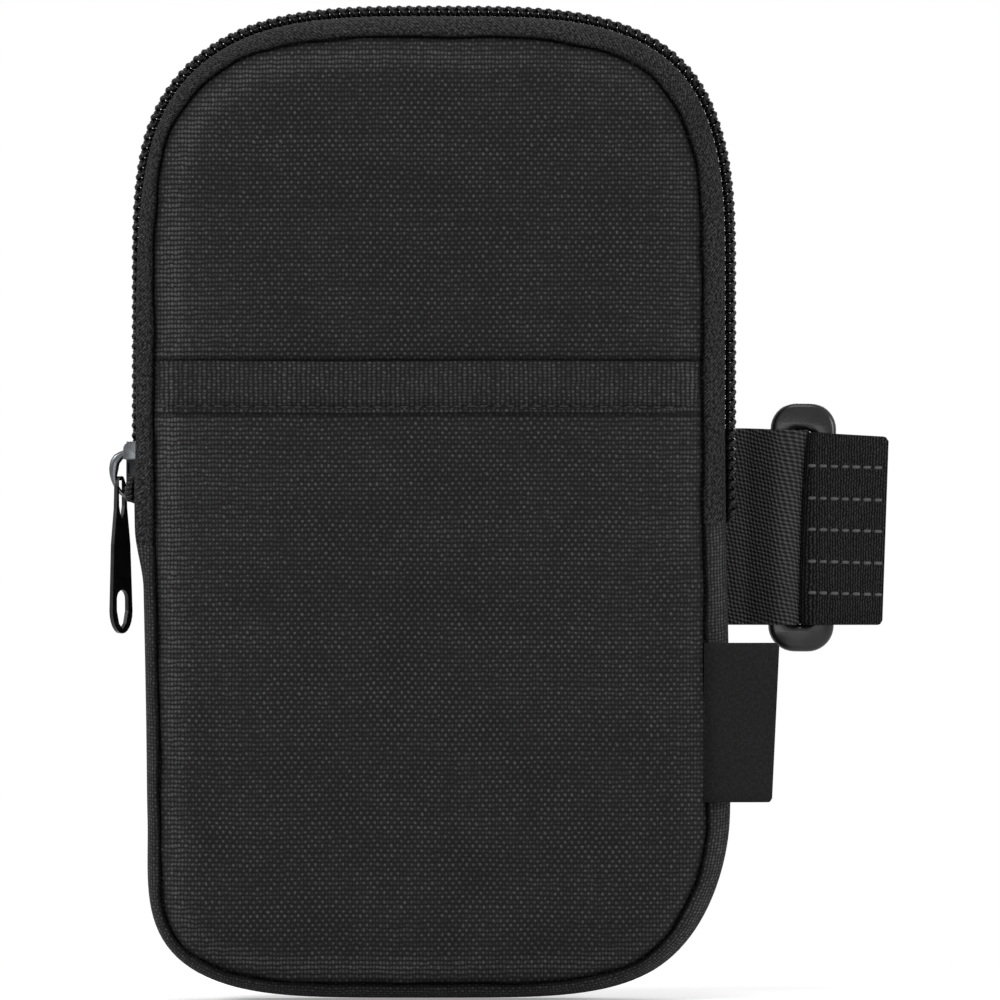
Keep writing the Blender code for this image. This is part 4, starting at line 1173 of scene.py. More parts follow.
def make_hem():
    """The folded hem along the pocket's mouth."""
    heights = np.concatenate([np.linspace(HEM_LOW_Z, HEM_LOW_Z + 2.4 * MM, 7), np.linspace(21, 27, 7) * MM])
    section = [(z, hem_swell(z) - hem_pull(z) / HEM_FACE) for z in heights]
    section += [(POCKET_TOP_Z - 0.12 * MM, 0.9), (POCKET_TOP_Z, 0.72), (POCKET_TOP_Z - 0.15 * MM, 0.5)]
    section += [(z, 0.42) for z in (25 * MM, 21 * MM, HEM_LOW_Z + 0.4 * MM)]
    section += [(HEM_LOW_Z - 0.15 * MM, 0.5), (HEM_LOW_Z - 0.1 * MM, 0.6)]
    section = np.array(section)
    x, depth, inset = front_line((HEM_LOW_Z + POCKET_TOP_Z) / 2, 3.9 * MM)
    points = np.zeros((len(x), len(section), 3))
    points[:, :, 0] = x[:, None]
    points[:, :, 2] = section[None, :, 0] + 0.12 * MM * np.sin(x / (11 * MM))[:, None]
    lift = hem_lift(inset)[:, None] * section[None, :, 1]
    near = np.exp(-(((section[:, 0] - HEM_STITCH_Z) / (1.6 * MM)) ** 2))
    ripple = 0.07 * MM * np.sin(x / (0.83 * MM) + np.sin(x / (5 * MM)))[:, None] * near[None, :]
    points[:, :, 1] = depth[:, None] - lift - ripple - front_relief(points[:, :, 0], points[:, :, 2])
    return mark_seams(skin("pocket_hem", points, face_uvs(points), hem_cloth()))


# Repeated detail, by geometry nodes


@built_once("Repeat on points")
def repeat_tree(name):
    """Puts one small shape on each point, turned by the points' own directions."""
    tree = bpy.data.node_groups.new(name, "GeometryNodeTree")
    sockets = (
        ("Geometry", "Geometry", None),
        ("Shape", "Object", None),
        ("Size", "Float", 1.0),
        ("Size spread", "Float", 0.0),
        ("Seed", "Int", 7),
        ("Material", "Material", None),
    )
    for label, kind, value in sockets:
        socket = tree.interface.new_socket(label, in_out="INPUT", socket_type="NodeSocket" + kind)
        if value is not None:
            socket.default_value = value
    tree.interface.new_socket("Geometry", in_out="OUTPUT", socket_type="NodeSocketGeometry")
    w = Wires(tree)
    given, out = w.node("NodeGroupInput").outputs, w.node("NodeGroupOutput").inputs

    def stored(label):
        """The direction that each point holds under this name."""
        read = w.node("GeometryNodeInputNamedAttribute", data_type="FLOAT_VECTOR")
        read.inputs["Name"].default_value = label
        return read.outputs["Attribute"]

    first = w.node("FunctionNodeAlignRotationToVector", axis="X")
    w.put(first.inputs["Vector"], stored("along"))
    second = w.node("FunctionNodeAlignRotationToVector", axis="Z", pivot_axis="X")
    w.put(second.inputs["Rotation"], first.outputs["Rotation"])
    w.put(second.inputs["Vector"], stored("out"))
    vary = w.node("FunctionNodeRandomValue", data_type="FLOAT")
    w.put(vary.inputs[2], w.minus(given["Size"], given["Size spread"]))
    w.put(vary.inputs[3], given["Size"])
    w.put(vary.inputs["Seed"], given["Seed"])
    shape = w.node("GeometryNodeObjectInfo")
    w.put(shape.inputs["Object"], given["Shape"])
    place = w.node("GeometryNodeInstanceOnPoints")
    w.put(place.inputs["Points"], given["Geometry"])
    w.put(place.inputs["Instance"], shape.outputs["Geometry"])
    w.put(place.inputs["Rotation"], second.outputs["Rotation"])
    w.put(place.inputs["Scale"], vary.outputs[1])
    solid = w.node("GeometryNodeRealizeInstances")
    w.put(solid.inputs["Geometry"], place.outputs["Instances"])
    paint = w.node("GeometryNodeSetMaterial")
    w.put(paint.inputs["Geometry"], solid.outputs["Geometry"])
    w.put(paint.inputs["Material"], given["Material"])
    w.put(out["Geometry"], paint.outputs["Geometry"])
    return tree


def repeated(name, shape, points, along, out, material, **values):
    """One shape on each point, as one plain mesh."""
    mesh = bpy.data.meshes.new(name)
    mesh.from_pydata(np.asarray(points).tolist(), [], [])
    for label, vectors in (("along", along), ("out", out)):
        layer = mesh.attributes.new(label, "FLOAT_VECTOR", "POINT")
        layer.data.foreach_set("vector", np.asarray(vectors, np.float32).ravel())
    thing = linked(name, mesh)
    tree = repeat_tree()
    step = thing.modifiers.new("repeat", "NODES")
    step.node_group = tree
    sockets = {item.name: item.identifier for item in tree.interface.items_tree if item.in_out == "INPUT"}
    step[sockets["Shape"]] = shape
    step[sockets["Material"]] = material
    for label, value in values.items():
        step[sockets[label.replace("_", " ")]] = value
    apply_modifiers(thing)
    bpy.data.objects.remove(shape, do_unlink=True)
    thing.data.shade_smooth()
    return thing


def hidden_shape(name, verts, faces):
    """A small shape that is repeated and then taken away."""
    mesh = bpy.data.meshes.new(name)
    mesh.from_pydata([tuple(v) for v in verts], [], faces)
    with edited(mesh) as build:
        bmesh.ops.recalc_face_normals(build, faces=build.faces)
    return linked(name, mesh)


def stitch_shape(name, length, width, height, bluntness=0.4):
    """A short thread that rises from the cloth and goes back into it; X along, Z out."""
    sections, sides = 7, 6
    verts = []
    for i in range(sections):
        t = i / (sections - 1)
        swell = math.sin(math.pi * t) ** bluntness
        for j in range(sides):
            a = 2 * math.pi * j / sides
            y = math.cos(a) * width / 2 * max(swell, 0.35)
            z = math.sin(a) * height / 2 * max(swell, 0.35) + height * 0.5 * swell - height * 0.35
            verts.append((length * (t - 0.5), y, z))
    return hidden_shape(name, verts, tube_faces(sections, sides))


def make_hem_stitches():
    """The row of stitches that holds the hem."""
    pitch = bpy.context.scene.pouch_sizes.stitch_pitch
    x, depth, inset = front_line((HEM_LOW_Z + POCKET_TOP_Z) / 2, 4.6 * MM)
    count = int((x[-1] - x[0]) / pitch)
    spots = x[0] + pitch * (np.arange(count) + 0.5)
    z = np.full(count, HEM_STITCH_Z) + 0.12 * MM * np.sin(spots / (11 * MM))
    lift = hem_lift(inset) * (hem_swell(HEM_STITCH_Z) - hem_pull(HEM_STITCH_Z) / HEM_FACE)
    face = np.interp(spots, x, depth - lift)
    y = face - front_relief(spots, z)
    points = np.stack([spots, y, z], 1)
    slope = np.gradient(y, spots)
    along = np.stack([np.ones(count), slope, np.zeros(count)], 1)
    out = np.tile([0.0, -1.0, 0.0], (count, 1))
    shape = stitch_shape("hem_stitch", pitch * 0.78, 0.42 * MM, 0.3 * MM)
    return repeated("hem_stitches", shape, points, along, out, hem_thread(), Size_spread=0.12)


def wall_profile_rear(stop_y):
    """The wall's outer line from inside the rear seam forward, in metres."""
    line = spline(np.array(REAR_CURL) * MM, 3)
    return np.concatenate([line, np.linspace(line[-1], (0.0, stop_y), 5)[1:]])


def wall_profile_front(start_y):
    """The wall's outer line from this depth forward into the front seam, in metres."""
    line = spline(np.array(FRONT_CURL) * MM, 3)
    return np.concatenate([np.linspace((0.0, start_y), line[0], 5)[:-1], line])


def make_tapes():
    """The zip's two tapes, from its right end over the top to its left end."""
    line = wall_profile_rear(-CHAIN_DEPTH + TAPE_EDGE_GAP)
    rear = wall_strip("zip_tape_back", RIGHT_END, LEFT_END, line, TAPE, tape_cloth())
    fit(rear, "root", "zip_tape", "zip_tape_rear")
    line = wall_profile_front(-CHAIN_DEPTH - TAPE_EDGE_GAP)
    pucker = bpy.context.scene.pouch_sizes.pucker
    front = wall_strip("zip_tape_front", RIGHT_END, LEFT_END, line, TAPE, tape_cloth(), wave=pucker)
    fit_over_fold(front, "zip_tape", "zip_tape_front_left", "zip_tape_front_right", "zip_tape_flap")


def make_gusset():
    """The bottom gusset and its lining, from the zip's left end round the bottom to its right end."""
    whole, pucker = OUTLINE.length, bpy.context.scene.pouch_sizes.pucker
    profile = np.concatenate([wall_profile_rear(-CHAIN_DEPTH)[:-1], wall_profile_front(-CHAIN_DEPTH)])
    start, end = LEFT_END + GUSSET_END_GAP - whole, RIGHT_END - GUSSET_END_GAP
    gusset = wall_strip("gusset_cover", start, end, profile, CLOTH, shell_cloth(), wave=pucker)
    fit(gusset, "root", "shell_fabric", "bottom_gusset")
    inner = spline(np.array([(2.6, -3.6), (1.55, -6.0), (1.5, -11.0), (1.5, -16.0), (2.6, -18.6)]) * MM, 4)
    start, end = LEFT_END + WALL_END_GAP - whole, RIGHT_END - WALL_END_GAP
    inside = wall_strip("gusset_inner", start, end, inner, LINING, lining_cloth(), HIDDEN_STEP)
    fit(inside, "root", "lining", "gusset_lining")


def make_bindings():
    """The narrow tapes that bind the seams inside."""
    whole, gap = OUTLINE.length, WALL_END_GAP
    left, right = OUTLINE.at_height(FOLD_Z, -1), OUTLINE.at_height(FOLD_Z, 1)
    bindings = (
        ("back", "rear", gap, whole - gap, (3.75, -5.4), (3.4, -7.8), "root"),
        ("front", "front", left + gap - whole, right - gap, (2.4, -14.4), (2.7, -16.8), "root"),
        ("flap", "flap", right + gap, left - gap, (1.0, -14.4), (1.3, -16.8), "flap"),
    )
    for name, place, start, end, wide_edge, narrow_edge, body in bindings:
        line = np.linspace(wide_edge, narrow_edge, 4) * MM
        strip = wall_strip("binding_" + name, start, end, line, BINDING, binding_cloth(), HIDDEN_STEP)
        fit(strip, body, "binding_tape", "seam_binding_" + place)


def make_back_skins():
    """The flat padded back: its cloth, foam and lining."""
    edge = ((3.95, -2.6), (3.9, -1.8), (4.0, -1.0), (4.4, -0.45))
    edge += ((5.2, -0.15), (6.6, -0.02), (9.0, 0.0), (15.0, 0.0))
    cover = back_sheet("back_cover", edge, shell_cloth())
    mark_seams(solid_from(cover, CLOTH))
    fit(cover, "root", "shell_fabric", "back_panel")
    foam = back_sheet("back_foam", ((5.6, -1.35), (9.0, -1.2), (15.0, -1.2)), foam_look())
    solid_from(foam, BACK_FOAM)
    fit(foam, "root", "foam", "back_padding")
    inner = back_sheet("back_inner", ((4.9, -4.6), (9.0, -4.55), (15.0, -4.55)), lining_cloth())
    solid_from(inner, LINING)
    fit(inner, "root", "lining", "back_lining")


def back_sheet(name, profile, material):
    """A sheet over the whole back, made as the front is and turned to face backward."""
    thing = front_sheet(name, profile, 0.0, material, unevenness=0.0)
    with edited(thing.data) as build:
        for vert in build.verts:
            vert.co.x -= FRONT_SHIFT_X
            vert.co.z -= FRONT_SHIFT_Z
        bmesh.ops.reverse_faces(build, faces=build.faces)
    return thing


# Zip coil


def coil_turn(name, pitch, wire):
    """One turn of the coil: X along the zip, Y across it, Z out of the tape."""
    steps, sides = 12, 6
    half_out, half_across = COIL_HEIGHT / 2 - wire, COIL_WIDTH / 2 - wire
    angles = np.linspace(0, 2 * math.pi, steps + 1) - math.pi / 2
    along_zip = pitch * (np.arange(steps + 1) / steps - 0.5)
    centre = np.stack([along_zip, half_across * np.cos(angles), half_out * np.sin(angles)], 1)
    verts = []
    for i in range(steps + 1):
        a = angles[i]
        outward = Vector((0, math.cos(a) * half_out, math.sin(a) * half_across)).normalized()
        for j in range(sides):
            b = 2 * math.pi * j / sides
            along = Vector((wire * COIL_BREADTH * math.sin(b), 0, 0))
            verts.append(Vector(centre[i]) + outward * (wire * math.cos(b)) + along)
    return hidden_shape(name, verts, tube_faces(steps + 1, sides))


def coil_row(name, start, end, side, sizes):
    """One row of the coil; side is +1 for the rear row and -1 for the front row."""
    pitch = sizes.tooth_pitch
    shift = 0.0 if side > 0 else pitch / 2
    count = int((end - start - shift) / pitch)
    places = start + shift + pitch * (np.arange(count) + 0.5)
    outset = COIL_HEIGHT / 2 - (COIL_SINK if side > 0 else 0.0)
    flat = OUTLINE.offset(places, outset)
    y = np.full(count, -CHAIN_DEPTH + side * (COIL_WIDTH / 2 - MESHED))
    points = np.stack([flat[:, 0], y, flat[:, 1]], 1)
    outward = OUTLINE.outward(places)
    out = np.stack([outward[:, 0], np.zeros(count), outward[:, 1]], 1)
    along = np.stack([-outward[:, 1], np.zeros(count), outward[:, 0]], 1)
    shape = coil_turn(name + "_turn", pitch, sizes.coil_wire)
    return repeated(name, shape, points, along, out, coil_look())


# How far out and how high each turn of the coil's tail lies, in millimetres
TAIL_SPOTS = ((1.9, 4.2), (2.2, 3.25), (2.4, 2.3), (2.5, 1.35), (2.4, 0.4))
TAIL_DEPTH = 15.3 * MM


def coil_tail(sizes):
    """The front row's last turns, which stand out in front of the slider's foot."""
    points = [(-HALF_WIDTH - out * MM, -TAIL_DEPTH, up * MM) for out, up in TAIL_SPOTS]
    along = np.tile([0.0, 0.0, -1.0], (len(points), 1))
    out = np.tile([-1.0, 0.0, 0.0], (len(points), 1))
    shape = coil_turn("coil_tail_turn", sizes.tooth_pitch * 0.5, sizes.coil_wire)
    return repeated("coil_tail", shape, points, along, out, coil_look())


def make_chain():
    """The two rows of the coil, meshed, and the tail of the front one."""
    sizes = bpy.context.scene.pouch_sizes
    end = OUTLINE.at_height(CHAIN_END_LEFT_Z, -1)
    rear = coil_row("coil_back", RIGHT_END, end, 1, sizes)
    fit(rear, "root", "zip_coil", "zip_coil_rear")
    front = coil_row("coil_front", RIGHT_END, end, -1, sizes)
    fit_over_fold(front, "zip_coil", "zip_coil_front_left", "zip_coil_front_right", "zip_coil_flap")
    fit(coil_tail(sizes), "root", "zip_coil")


# Slider and pull


def slider_line():
    """The slider's shield shape, wide at its brow and narrow at its foot."""
    low, high, half = SLIDER_LOW_Z, SLIDER_LOW_Z + SLIDER_LENGTH, SLIDER_HALF
    side = [(half * SLIDER_FOOT, low), (half, low + 4.2 * MM)]
    side += [(half, high - SLIDER_BROW), (half * SLIDER_HEAD, high)]
    corners = side + [(-y, z) for y, z in side[::-1]]
    return rounded_line(corners, 0.9 * MM, 4)


def rounded_line(corners, radius, steps):
    """A closed line with its corners rounded."""
    line = []
    for k, here in enumerate(corners):
        bend = fillet([corners[k - 1], here, corners[(k + 1) % len(corners)]], radius, steps)
        line += [tuple(point) for point in bend[1:-1]]
    return line


def beside_zip(mesh, out):
    """Turns a plate drawn as across and up so that it lies beside the left straight of the zip."""
    mesh.transform(turned((0, 1, 0), (0, 0, 1), (-1, 0, 0)))
    mesh.transform(Matrix.Translation((-HALF_WIDTH - out, -CHAIN_DEPTH, 0)))
    return mesh


def bridge_mesh():
    """The arch that holds the pull: broad at its crown and thin where it meets the foot."""
    route = [(0.1, 9.3), (1.4, 8.5), (2.25, 7.5), (2.55, 6.2)]
    route += [(2.6, 4.6), (2.2, 2.9), (1.3, 1.5), (0.1, 0.55)]
    path = spline(np.array(route) * MM, 5)
    share = np.linspace(0, 1, len(path))
    deep = np.interp(share, (0, 0.2, 0.45, 0.7, 1), (0.6, 0.95, 0.95, 0.5, 0.4)) * MM
    wide = np.interp(share, (0, 0.3, 1), (1.1, 0.8, 0.7)) * MM
    left = directions(path)[1]
    sides = 14
    verts = []
    for i in range(len(path)):
        for j in range(sides):
            a = 2 * math.pi * j / sides
            c = math.copysign(abs(math.cos(a)) ** 0.75, math.cos(a))
            s = math.copysign(abs(math.sin(a)) ** 0.75, math.sin(a))
            out, up = path[i] + left[i] * deep[i] * c
            verts.append((-HALF_WIDTH - OUTER_PLATE[1] - out, -CHAIN_DEPTH + wide[i] * s, SLIDER_LOW_Z + up))
    mesh = bpy.data.meshes.new("bridge")
    mesh.from_pydata(verts, [], tube_faces(len(path), sides))
    return mesh


def cheek_mesh(side):
    """The rounded cheek on one side of the slider's brow, outside the channel that the coil runs in."""
    line = [(x * MM, z * MM) for x, z in ((0.45, 8.0), (3.75, 8.0), (3.75, 11.0), (2.0, 11.7), (0.45, 11.7))]
    cheek = flat_plate("cheek", [rounded_line(line, 0.6 * MM, 3)], 1.1 * MM, 0.18 * MM)
    cheek.transform(turned((-1, 0, 0), (0, 0, 1), (0, 1, 0)))
    cheek.transform(Matrix.Translation((-HALF_WIDTH, side * (CHANNEL_HALF + 0.65 * MM) - CHAIN_DEPTH, 0)))
    return cheek


def make_slider():
    """The zip slider: two shield-shaped plates, flanges, a raised crown and the pull's arch."""
    low, high = SLIDER_LOW_Z, SLIDER_LOW_Z + SLIDER_LENGTH
    meshes = []
    for near, far in (OUTER_PLATE, INNER_PLATE):
        plate = flat_plate("plate", [slider_line()], far - near, 0.25 * MM)
        meshes.append(beside_zip(plate, (near + far) / 2))
    crown_line = [(y, z) for y, z in ((2.9, 8.1), (3.5, 8.5), (3.2, 10.3), (2.6, 10.6))]
    crown_line += [(-y, z) for y, z in crown_line[::-1]]
    crown_line = [(y * MM, z * MM) for y, z in crown_line]
    crown = flat_plate("crown", [rounded_line(crown_line, 0.4 * MM, 2)], 1.1 * MM, 0.2 * MM)
    # Painted light: these parts and the brow take the lit gunmetal, and the plates and flanges take a copy
    # darkened to 0.22 as painted shade.
    worn_and_lit = [beside_zip(crown, OUTER_PLATE[1] + 0.1 * MM), bridge_mesh(), cheek_mesh(-1), cheek_mesh(1)]
    flange_out = (0.3 * MM, OUTER_PLATE[1] - 0.1 * MM)
    for side in (-1, 1):
        near, far = side * CHANNEL_HALF, side * SLIDER_HALF
        edge = [(near, low + 4.7 * MM), (far, low + 4.7 * MM), (far, high - SLIDER_BROW)]
        edge += [(far * 0.87, high - 0.3 * MM), (near, high - 0.3 * MM)]
        flange = flat_plate("flange", [edge], flange_out[1] - flange_out[0], 0.2 * MM)
        meshes.append(beside_zip(flange, sum(flange_out) / 2))
    slider = fused("slider_cover", meshes + worn_and_lit, metal_look("gunmetal, painted shade", 0.22))
    slider.data.materials.append(metal_look())
    first_lit = len(slider.data.polygons) - sum(len(mesh.polygons) for mesh in worn_and_lit)
    for face in slider.data.polygons:
        brow = face.center.z > high - 3.6 * MM and face.center.x < -HALF_WIDTH
        if brow or face.index >= first_lit:
            face.material_index = 1
    fit(slider, "slider", "slider_metal", "zip_slider")


def make_pull():
    """The pull keeps its solid and gets a darker lacquer."""
    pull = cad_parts["pull_tab"]
    pull.data.materials.clear()
    pull.data.materials.append(pull_look())


# Strap and tag


def half_round(centre, radius, start, end, steps):
    """Points on an arc between two angles in degrees."""
    angle = np.radians(np.linspace(start, end, steps + 1))
    return [(centre[0] + radius * c, centre[1] + radius * s) for c, s in zip(np.cos(angle), np.sin(angle))]


BODY_EDGE_X = 60.0 * MM
RING_RIGHT_X = RING_LEFT_X + RING_SPAN
RING_EDGE_X = RING_RIGHT_X + RING_BAR / 2
LOWER_Y = RING_Y + RING_THICK / 2 + 0.3 * MM + ELASTIC / 2
FRONT_Y = RING_Y - RING_THICK / 2 - 0.3 * MM - ELASTIC / 2
BAND_LOW_Z, BAND_HIGH_Z = STRAP_MID_Z - ELASTIC_HEIGHT / 2, STRAP_MID_Z + ELASTIC_HEIGHT / 2
BAND_TURN_X = STRAP_REACH_X - 2.2 * MM - ELASTIC / 2
BAND_SLOPE_X = RING_RIGHT_X - 3 * MM
SLOT_X = RING_RIGHT_X - RING_BAR / 2 - 1.0 * MM - ELASTIC / 2
PATCH_LOW_Z, PATCH_HIGH_Z = BAND_LOW_Z + PATCH_MARGIN, BAND_HIGH_Z - PATCH_MARGIN
HOOK_FRONT_Y = LOWER_Y - ELASTIC / 2 - 2 * (LAY_GAP + PATCH)
FREE_END_Y = HOOK_FRONT_Y - LAY_GAP - ELASTIC / 2
DASH_ROWS_Z = (6.8 * MM, 0.4 * MM, -5.8 * MM, -12.1 * MM, -18.3 * MM)


def make_webbing():
    """The webbing tab, folded round the ring's left bar and sewn to the pouch."""
    loop = 3.265 * MM
    root_x, front_y, back_y = 55.35 * MM, 0.11 * MM, 1.61 * MM
    neck_x = RING_LEFT_X - loop * 1.9
    turn = half_round((RING_LEFT_X, RING_Y), loop, -125, 125, 24)
    path = evenly([(root_x, front_y), (neck_x, front_y), *turn, (neck_x, back_y), (root_x, back_y)], 0.8 * MM)
    low, high = STRAP_MID_Z - WEBBING_HEIGHT / 2, STRAP_MID_Z + WEBBING_HEIGHT / 2
    inner_x, turn_x = BODY_EDGE_X, RING_LEFT_X + 4.0 * MM

    def top(x):
        return high + 0.3 * MM - 0.35 * MM * smooth_step((x - inner_x) / (turn_x - inner_x))

    edges = reshaped(low, high, level(low), top, STRAP_REACH_X, 1.0 * MM)

    def bend(points):
        """Lets the fold lean out toward its upper end."""
        rise = (points[:, :, 2] - low) / (high - low)
        lean = 0.35 + 0.55 * rise + 0.35 * rise**2 + 0.95 * rise**6
        points[:, :, 0] += lean * MM * smooth_step((points[:, :, 0] - RING_LEFT_X) / (3.3 * MM))
        return edges(points)

    tab = flat_ribbon("webbing_cover", path, WEBBING, low, high, webbing_cloth(), bend=bend)
    fit(tab, "root", "webbing", "webbing_tab")


def flat_plate(name, lines, thickness, edge):
    """A flat plate with rounded edges, from closed lines drawn across and up, as a plain mesh."""
    curve = bpy.data.curves.new(name + "_line", "CURVE")
    curve.dimensions = "2D"
    curve.fill_mode = "BOTH"
    curve.extrude = thickness / 2 - edge
    curve.bevel_depth = edge
    curve.bevel_resolution = 3
    curve.offset = -edge
    for line in lines:
        part = curve.splines.new("POLY")
        part.points.add(len(line) - 1)
        for point, (x, y) in zip(part.points, line):
            point.co = (x, y, 0, 1)
        part.use_cyclic_u = True
    source = linked(name + "_line", curve)
    mesh = plain_mesh(source)
    bpy.data.objects.remove(source, do_unlink=True)
    return mesh


def fused(name, meshes, material):
    """Several meshes as one object, welded and facing outward."""
    build = bmesh.new()
    for mesh in meshes:
        build.from_mesh(mesh)
    bmesh.ops.remove_doubles(build, verts=build.verts, dist=1e-6)
    bmesh.ops.recalc_face_normals(build, faces=build.faces)
    whole = bpy.data.meshes.new(name)
    build.to_mesh(whole)
    build.free()
    return new_object(name, whole, material)


def turned(x_goes_to, y_goes_to, z_goes_to):
    """The turn that takes the three axes to these directions."""
    return Matrix((x_goes_to, y_goes_to, z_goes_to)).transposed().to_4x4()


def rounded_box(half_x, half_z, corners, steps):
    """A closed oblong; its right and left corners may differ."""
    line = []
    for sx, sz, start in ((1, 1, 0), (-1, 1, 90), (-1, -1, 180), (1, -1, 270)):
        corner = corners[0 if sx > 0 else 1]
        centre = (sx * (half_x - corner), sz * (half_z - corner))
        line += half_round(centre, corner, start, start + 90, steps)
    return line


def make_ring():
    """The moulded ring: an oval frame with rounded bars."""
    half_x, slot = (RING_SPAN + RING_BAR) / 2, SLOT_HEIGHT / 2
    outer = rounded_box(half_x, slot + RING_END, (RING_CORNER, RING_CORNER), 9)
    inner = rounded_box(half_x - RING_BAR, slot - 0.45 * MM, (2.3 * MM, 1.2 * MM), 7)
    mesh = flat_plate("ring_cover", [outer, inner], RING_THICK, 1.22 * MM)
    mesh.transform(turned((1, 0, 0), (0, 0, 1), (0, -1, 0)))
    mesh.transform(Matrix.Rotation(math.radians(0.7), 4, "Y"))
    mesh.transform(Matrix.Translation((RING_LEFT_X + RING_SPAN / 2, RING_Y, STRAP_MID_Z)))
    ring = fused("ring_cover", [mesh], ring_look())
    fit(ring, "ring", "ring_plastic", "strap_ring")


def band_line():
    """The band's path from the rear seam on the left, bowed behind the back, to the ring."""
    root_x = -HALF_WIDTH + 2.2 * MM
    line = [
        (root_x, 0.9 * MM),
        (root_x + BOW_DEPTH * 0.1, BOW_DEPTH * 0.62),
        (root_x + BOW_DEPTH, BOW_DEPTH * 0.97),
        (0.0, BOW_DEPTH),
        (BAND_TURN_X, BOW_DEPTH * 0.9),
        (BAND_TURN_X, LOWER_Y),
        (RING_EDGE_X + 0.9 * MM, LOWER_Y),
    ]
    return evenly(fillet(line, BOW_DEPTH * 0.66, 12), 1.2 * MM)


def return_line():
    """The free end's path from behind the ring through its slot and back over the hook patch."""
    line = [
        (RING_EDGE_X + 0.6 * MM, LOWER_Y),
        (SLOT_X, LOWER_Y),
        (SLOT_X, FRONT_Y),
        (RING_RIGHT_X + RING_BAR * 0.6, FRONT_Y),
        (RING_RIGHT_X + RING_BAR * 1.1, FREE_END_Y),
        (STRAP_REACH_X + 0.5 * MM, FREE_END_Y),
    ]
    return evenly(fillet(line, ELASTIC * 1.2, 8), 0.5 * MM)


def loop_line():
    """The loop patch's path on the band, from the ring round the band's turn."""
    y = LOWER_Y - ELASTIC / 2 - LAY_GAP - PATCH / 2
    side_x = BAND_TURN_X + LOWER_Y - y
    reach = BOW_DEPTH * 0.44
    line = [(RING_EDGE_X + 2.2 * MM, y), (side_x, y), (side_x, LOWER_Y + reach)]
    return evenly(fillet(line, reach, 10), 0.6 * MM)


def level(height):
    """An edge that stays at one height."""
    return lambda x: height + 0 * x


def smooth_slope(start, end):
    """0 before the start, 1 from the end on, straight between."""
    return lambda x: np.clip((x - start) / (end - start), 0.0, 1.0)


def slanted_end():
    """Squares the free end off at a slight slant and lets its fold lean out."""
    reach = STRAP_REACH_X + 0.5 * MM
    slope = smooth_slope(BAND_SLOPE_X, reach)

    def top(x):
        return BAND_HIGH_Z - 0.9 * MM * slope(x)

    ends = reshaped(BAND_LOW_Z, BAND_HIGH_Z, level(BAND_LOW_Z - 0.5 * MM), top, reach, 1.0 * MM)

    def bend(points):
        ends(points)
        rise = (points[:, :, 2] - BAND_LOW_Z) / (BAND_HIGH_Z - BAND_LOW_Z)
        lean = 0.9 * rise - 0.5 * (1 - rise) - 1.2 * rise * (1 - rise)
        fold = lean * (1 - smooth_step((points[:, :, 0] - SLOT_X) / (2.4 * MM)))
        points[:, :, 0] += ((1.3 * rise - 0.9) * slope(points[:, :, 0]) ** 2 + fold) * MM
        return points

    return bend


def fit_round_ring(thing, *nodes):
    """Bakes the placing of elastic that bends round the ring into its mesh, and hides the solids that it
    stands for.
    """
    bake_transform(thing)
    if nodes:
        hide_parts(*nodes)


def make_band():
    """The elastic band behind the back, from the left rear seam to the ring."""
    fall = smooth_slope(BAND_SLOPE_X, STRAP_REACH_X)

    def top(x):
        return BAND_HIGH_Z - 1.3 * MM * fall(x)

    behind = reshaped(BAND_LOW_Z, BAND_HIGH_Z, level(BAND_LOW_Z), top, SQUARE_ENDS, 1.0 * MM)
    run = band_line()
    band = flat_ribbon("elastic_cover", run, ELASTIC, BAND_LOW_Z, BAND_HIGH_Z, elastic_cloth(), bend=behind)
    fit(band, "root", "elastic", "elastic_band")
    return band


def make_free_end():
    """The band's free end, folded round the ring's right bar, with its dashes and its hook patch."""
    path, cloth = return_line(), elastic_cloth()
    back = flat_ribbon("band_return", path, ELASTIC, BAND_LOW_Z, BAND_HIGH_Z, cloth, bend=slanted_end())
    fit_round_ring(back, "band_wrap", "strap_end")
    dashes = make_dashes()
    fit_round_ring(dashes)
    hook_y = HOOK_FRONT_Y + PATCH / 2
    line = evenly([(RING_EDGE_X + 0.5 * MM, hook_y), (STRAP_REACH_X - 1.6 * MM, hook_y)], 0.6 * MM)
    hook = flat_ribbon("hook_cover", line, PATCH, PATCH_LOW_Z, PATCH_HIGH_Z, patch_cloth())
    fit(hook, "free_end", "hook_and_loop", "hook_patch")


def make_loop_patch():
    """The loop patch, laid on the elastic where the free end is pressed on."""
    line = loop_line()
    loop = flat_ribbon("loop_cover", line, PATCH, PATCH_LOW_Z, PATCH_HIGH_Z, patch_cloth())
    fit(loop, "root", "hook_and_loop", "loop_patch")


def make_dashes():
    """The rows of grey dashes that are woven into the elastic."""
    pitch = bpy.context.scene.pouch_sizes.dash_pitch
    x = np.arange(RING_RIGHT_X - 2.6 * MM, STRAP_REACH_X - 0.5 * MM, pitch)
    y = np.where(x < RING_RIGHT_X + RING_BAR * 0.8, FRONT_Y, FREE_END_Y) - ELASTIC / 2
    drop = (x - RING_RIGHT_X) * 0.03
    points = np.concatenate([np.stack([x, y, z - drop], 1) for z in DASH_ROWS_Z])
    along = np.tile([1.0, 0.0, 0.0], (len(points), 1))
    out = np.tile([0.0, -1.0, 0.0], (len(points), 1))
    shape = stitch_shape("elastic_dash", 1.75 * MM, 0.72 * MM, 0.22 * MM, 0.16)
    return repeated("elastic_dashes", shape, points, along, out, thread_look(), Size_spread=0.1)


LABEL_LOW_Z, LABEL_MID_Z, LABEL_HIGH_Z = -59.2 * MM, -43.55 * MM, -27.9 * MM
LABEL_REACH, LABEL = 14.3 * MM, 0.55 * MM


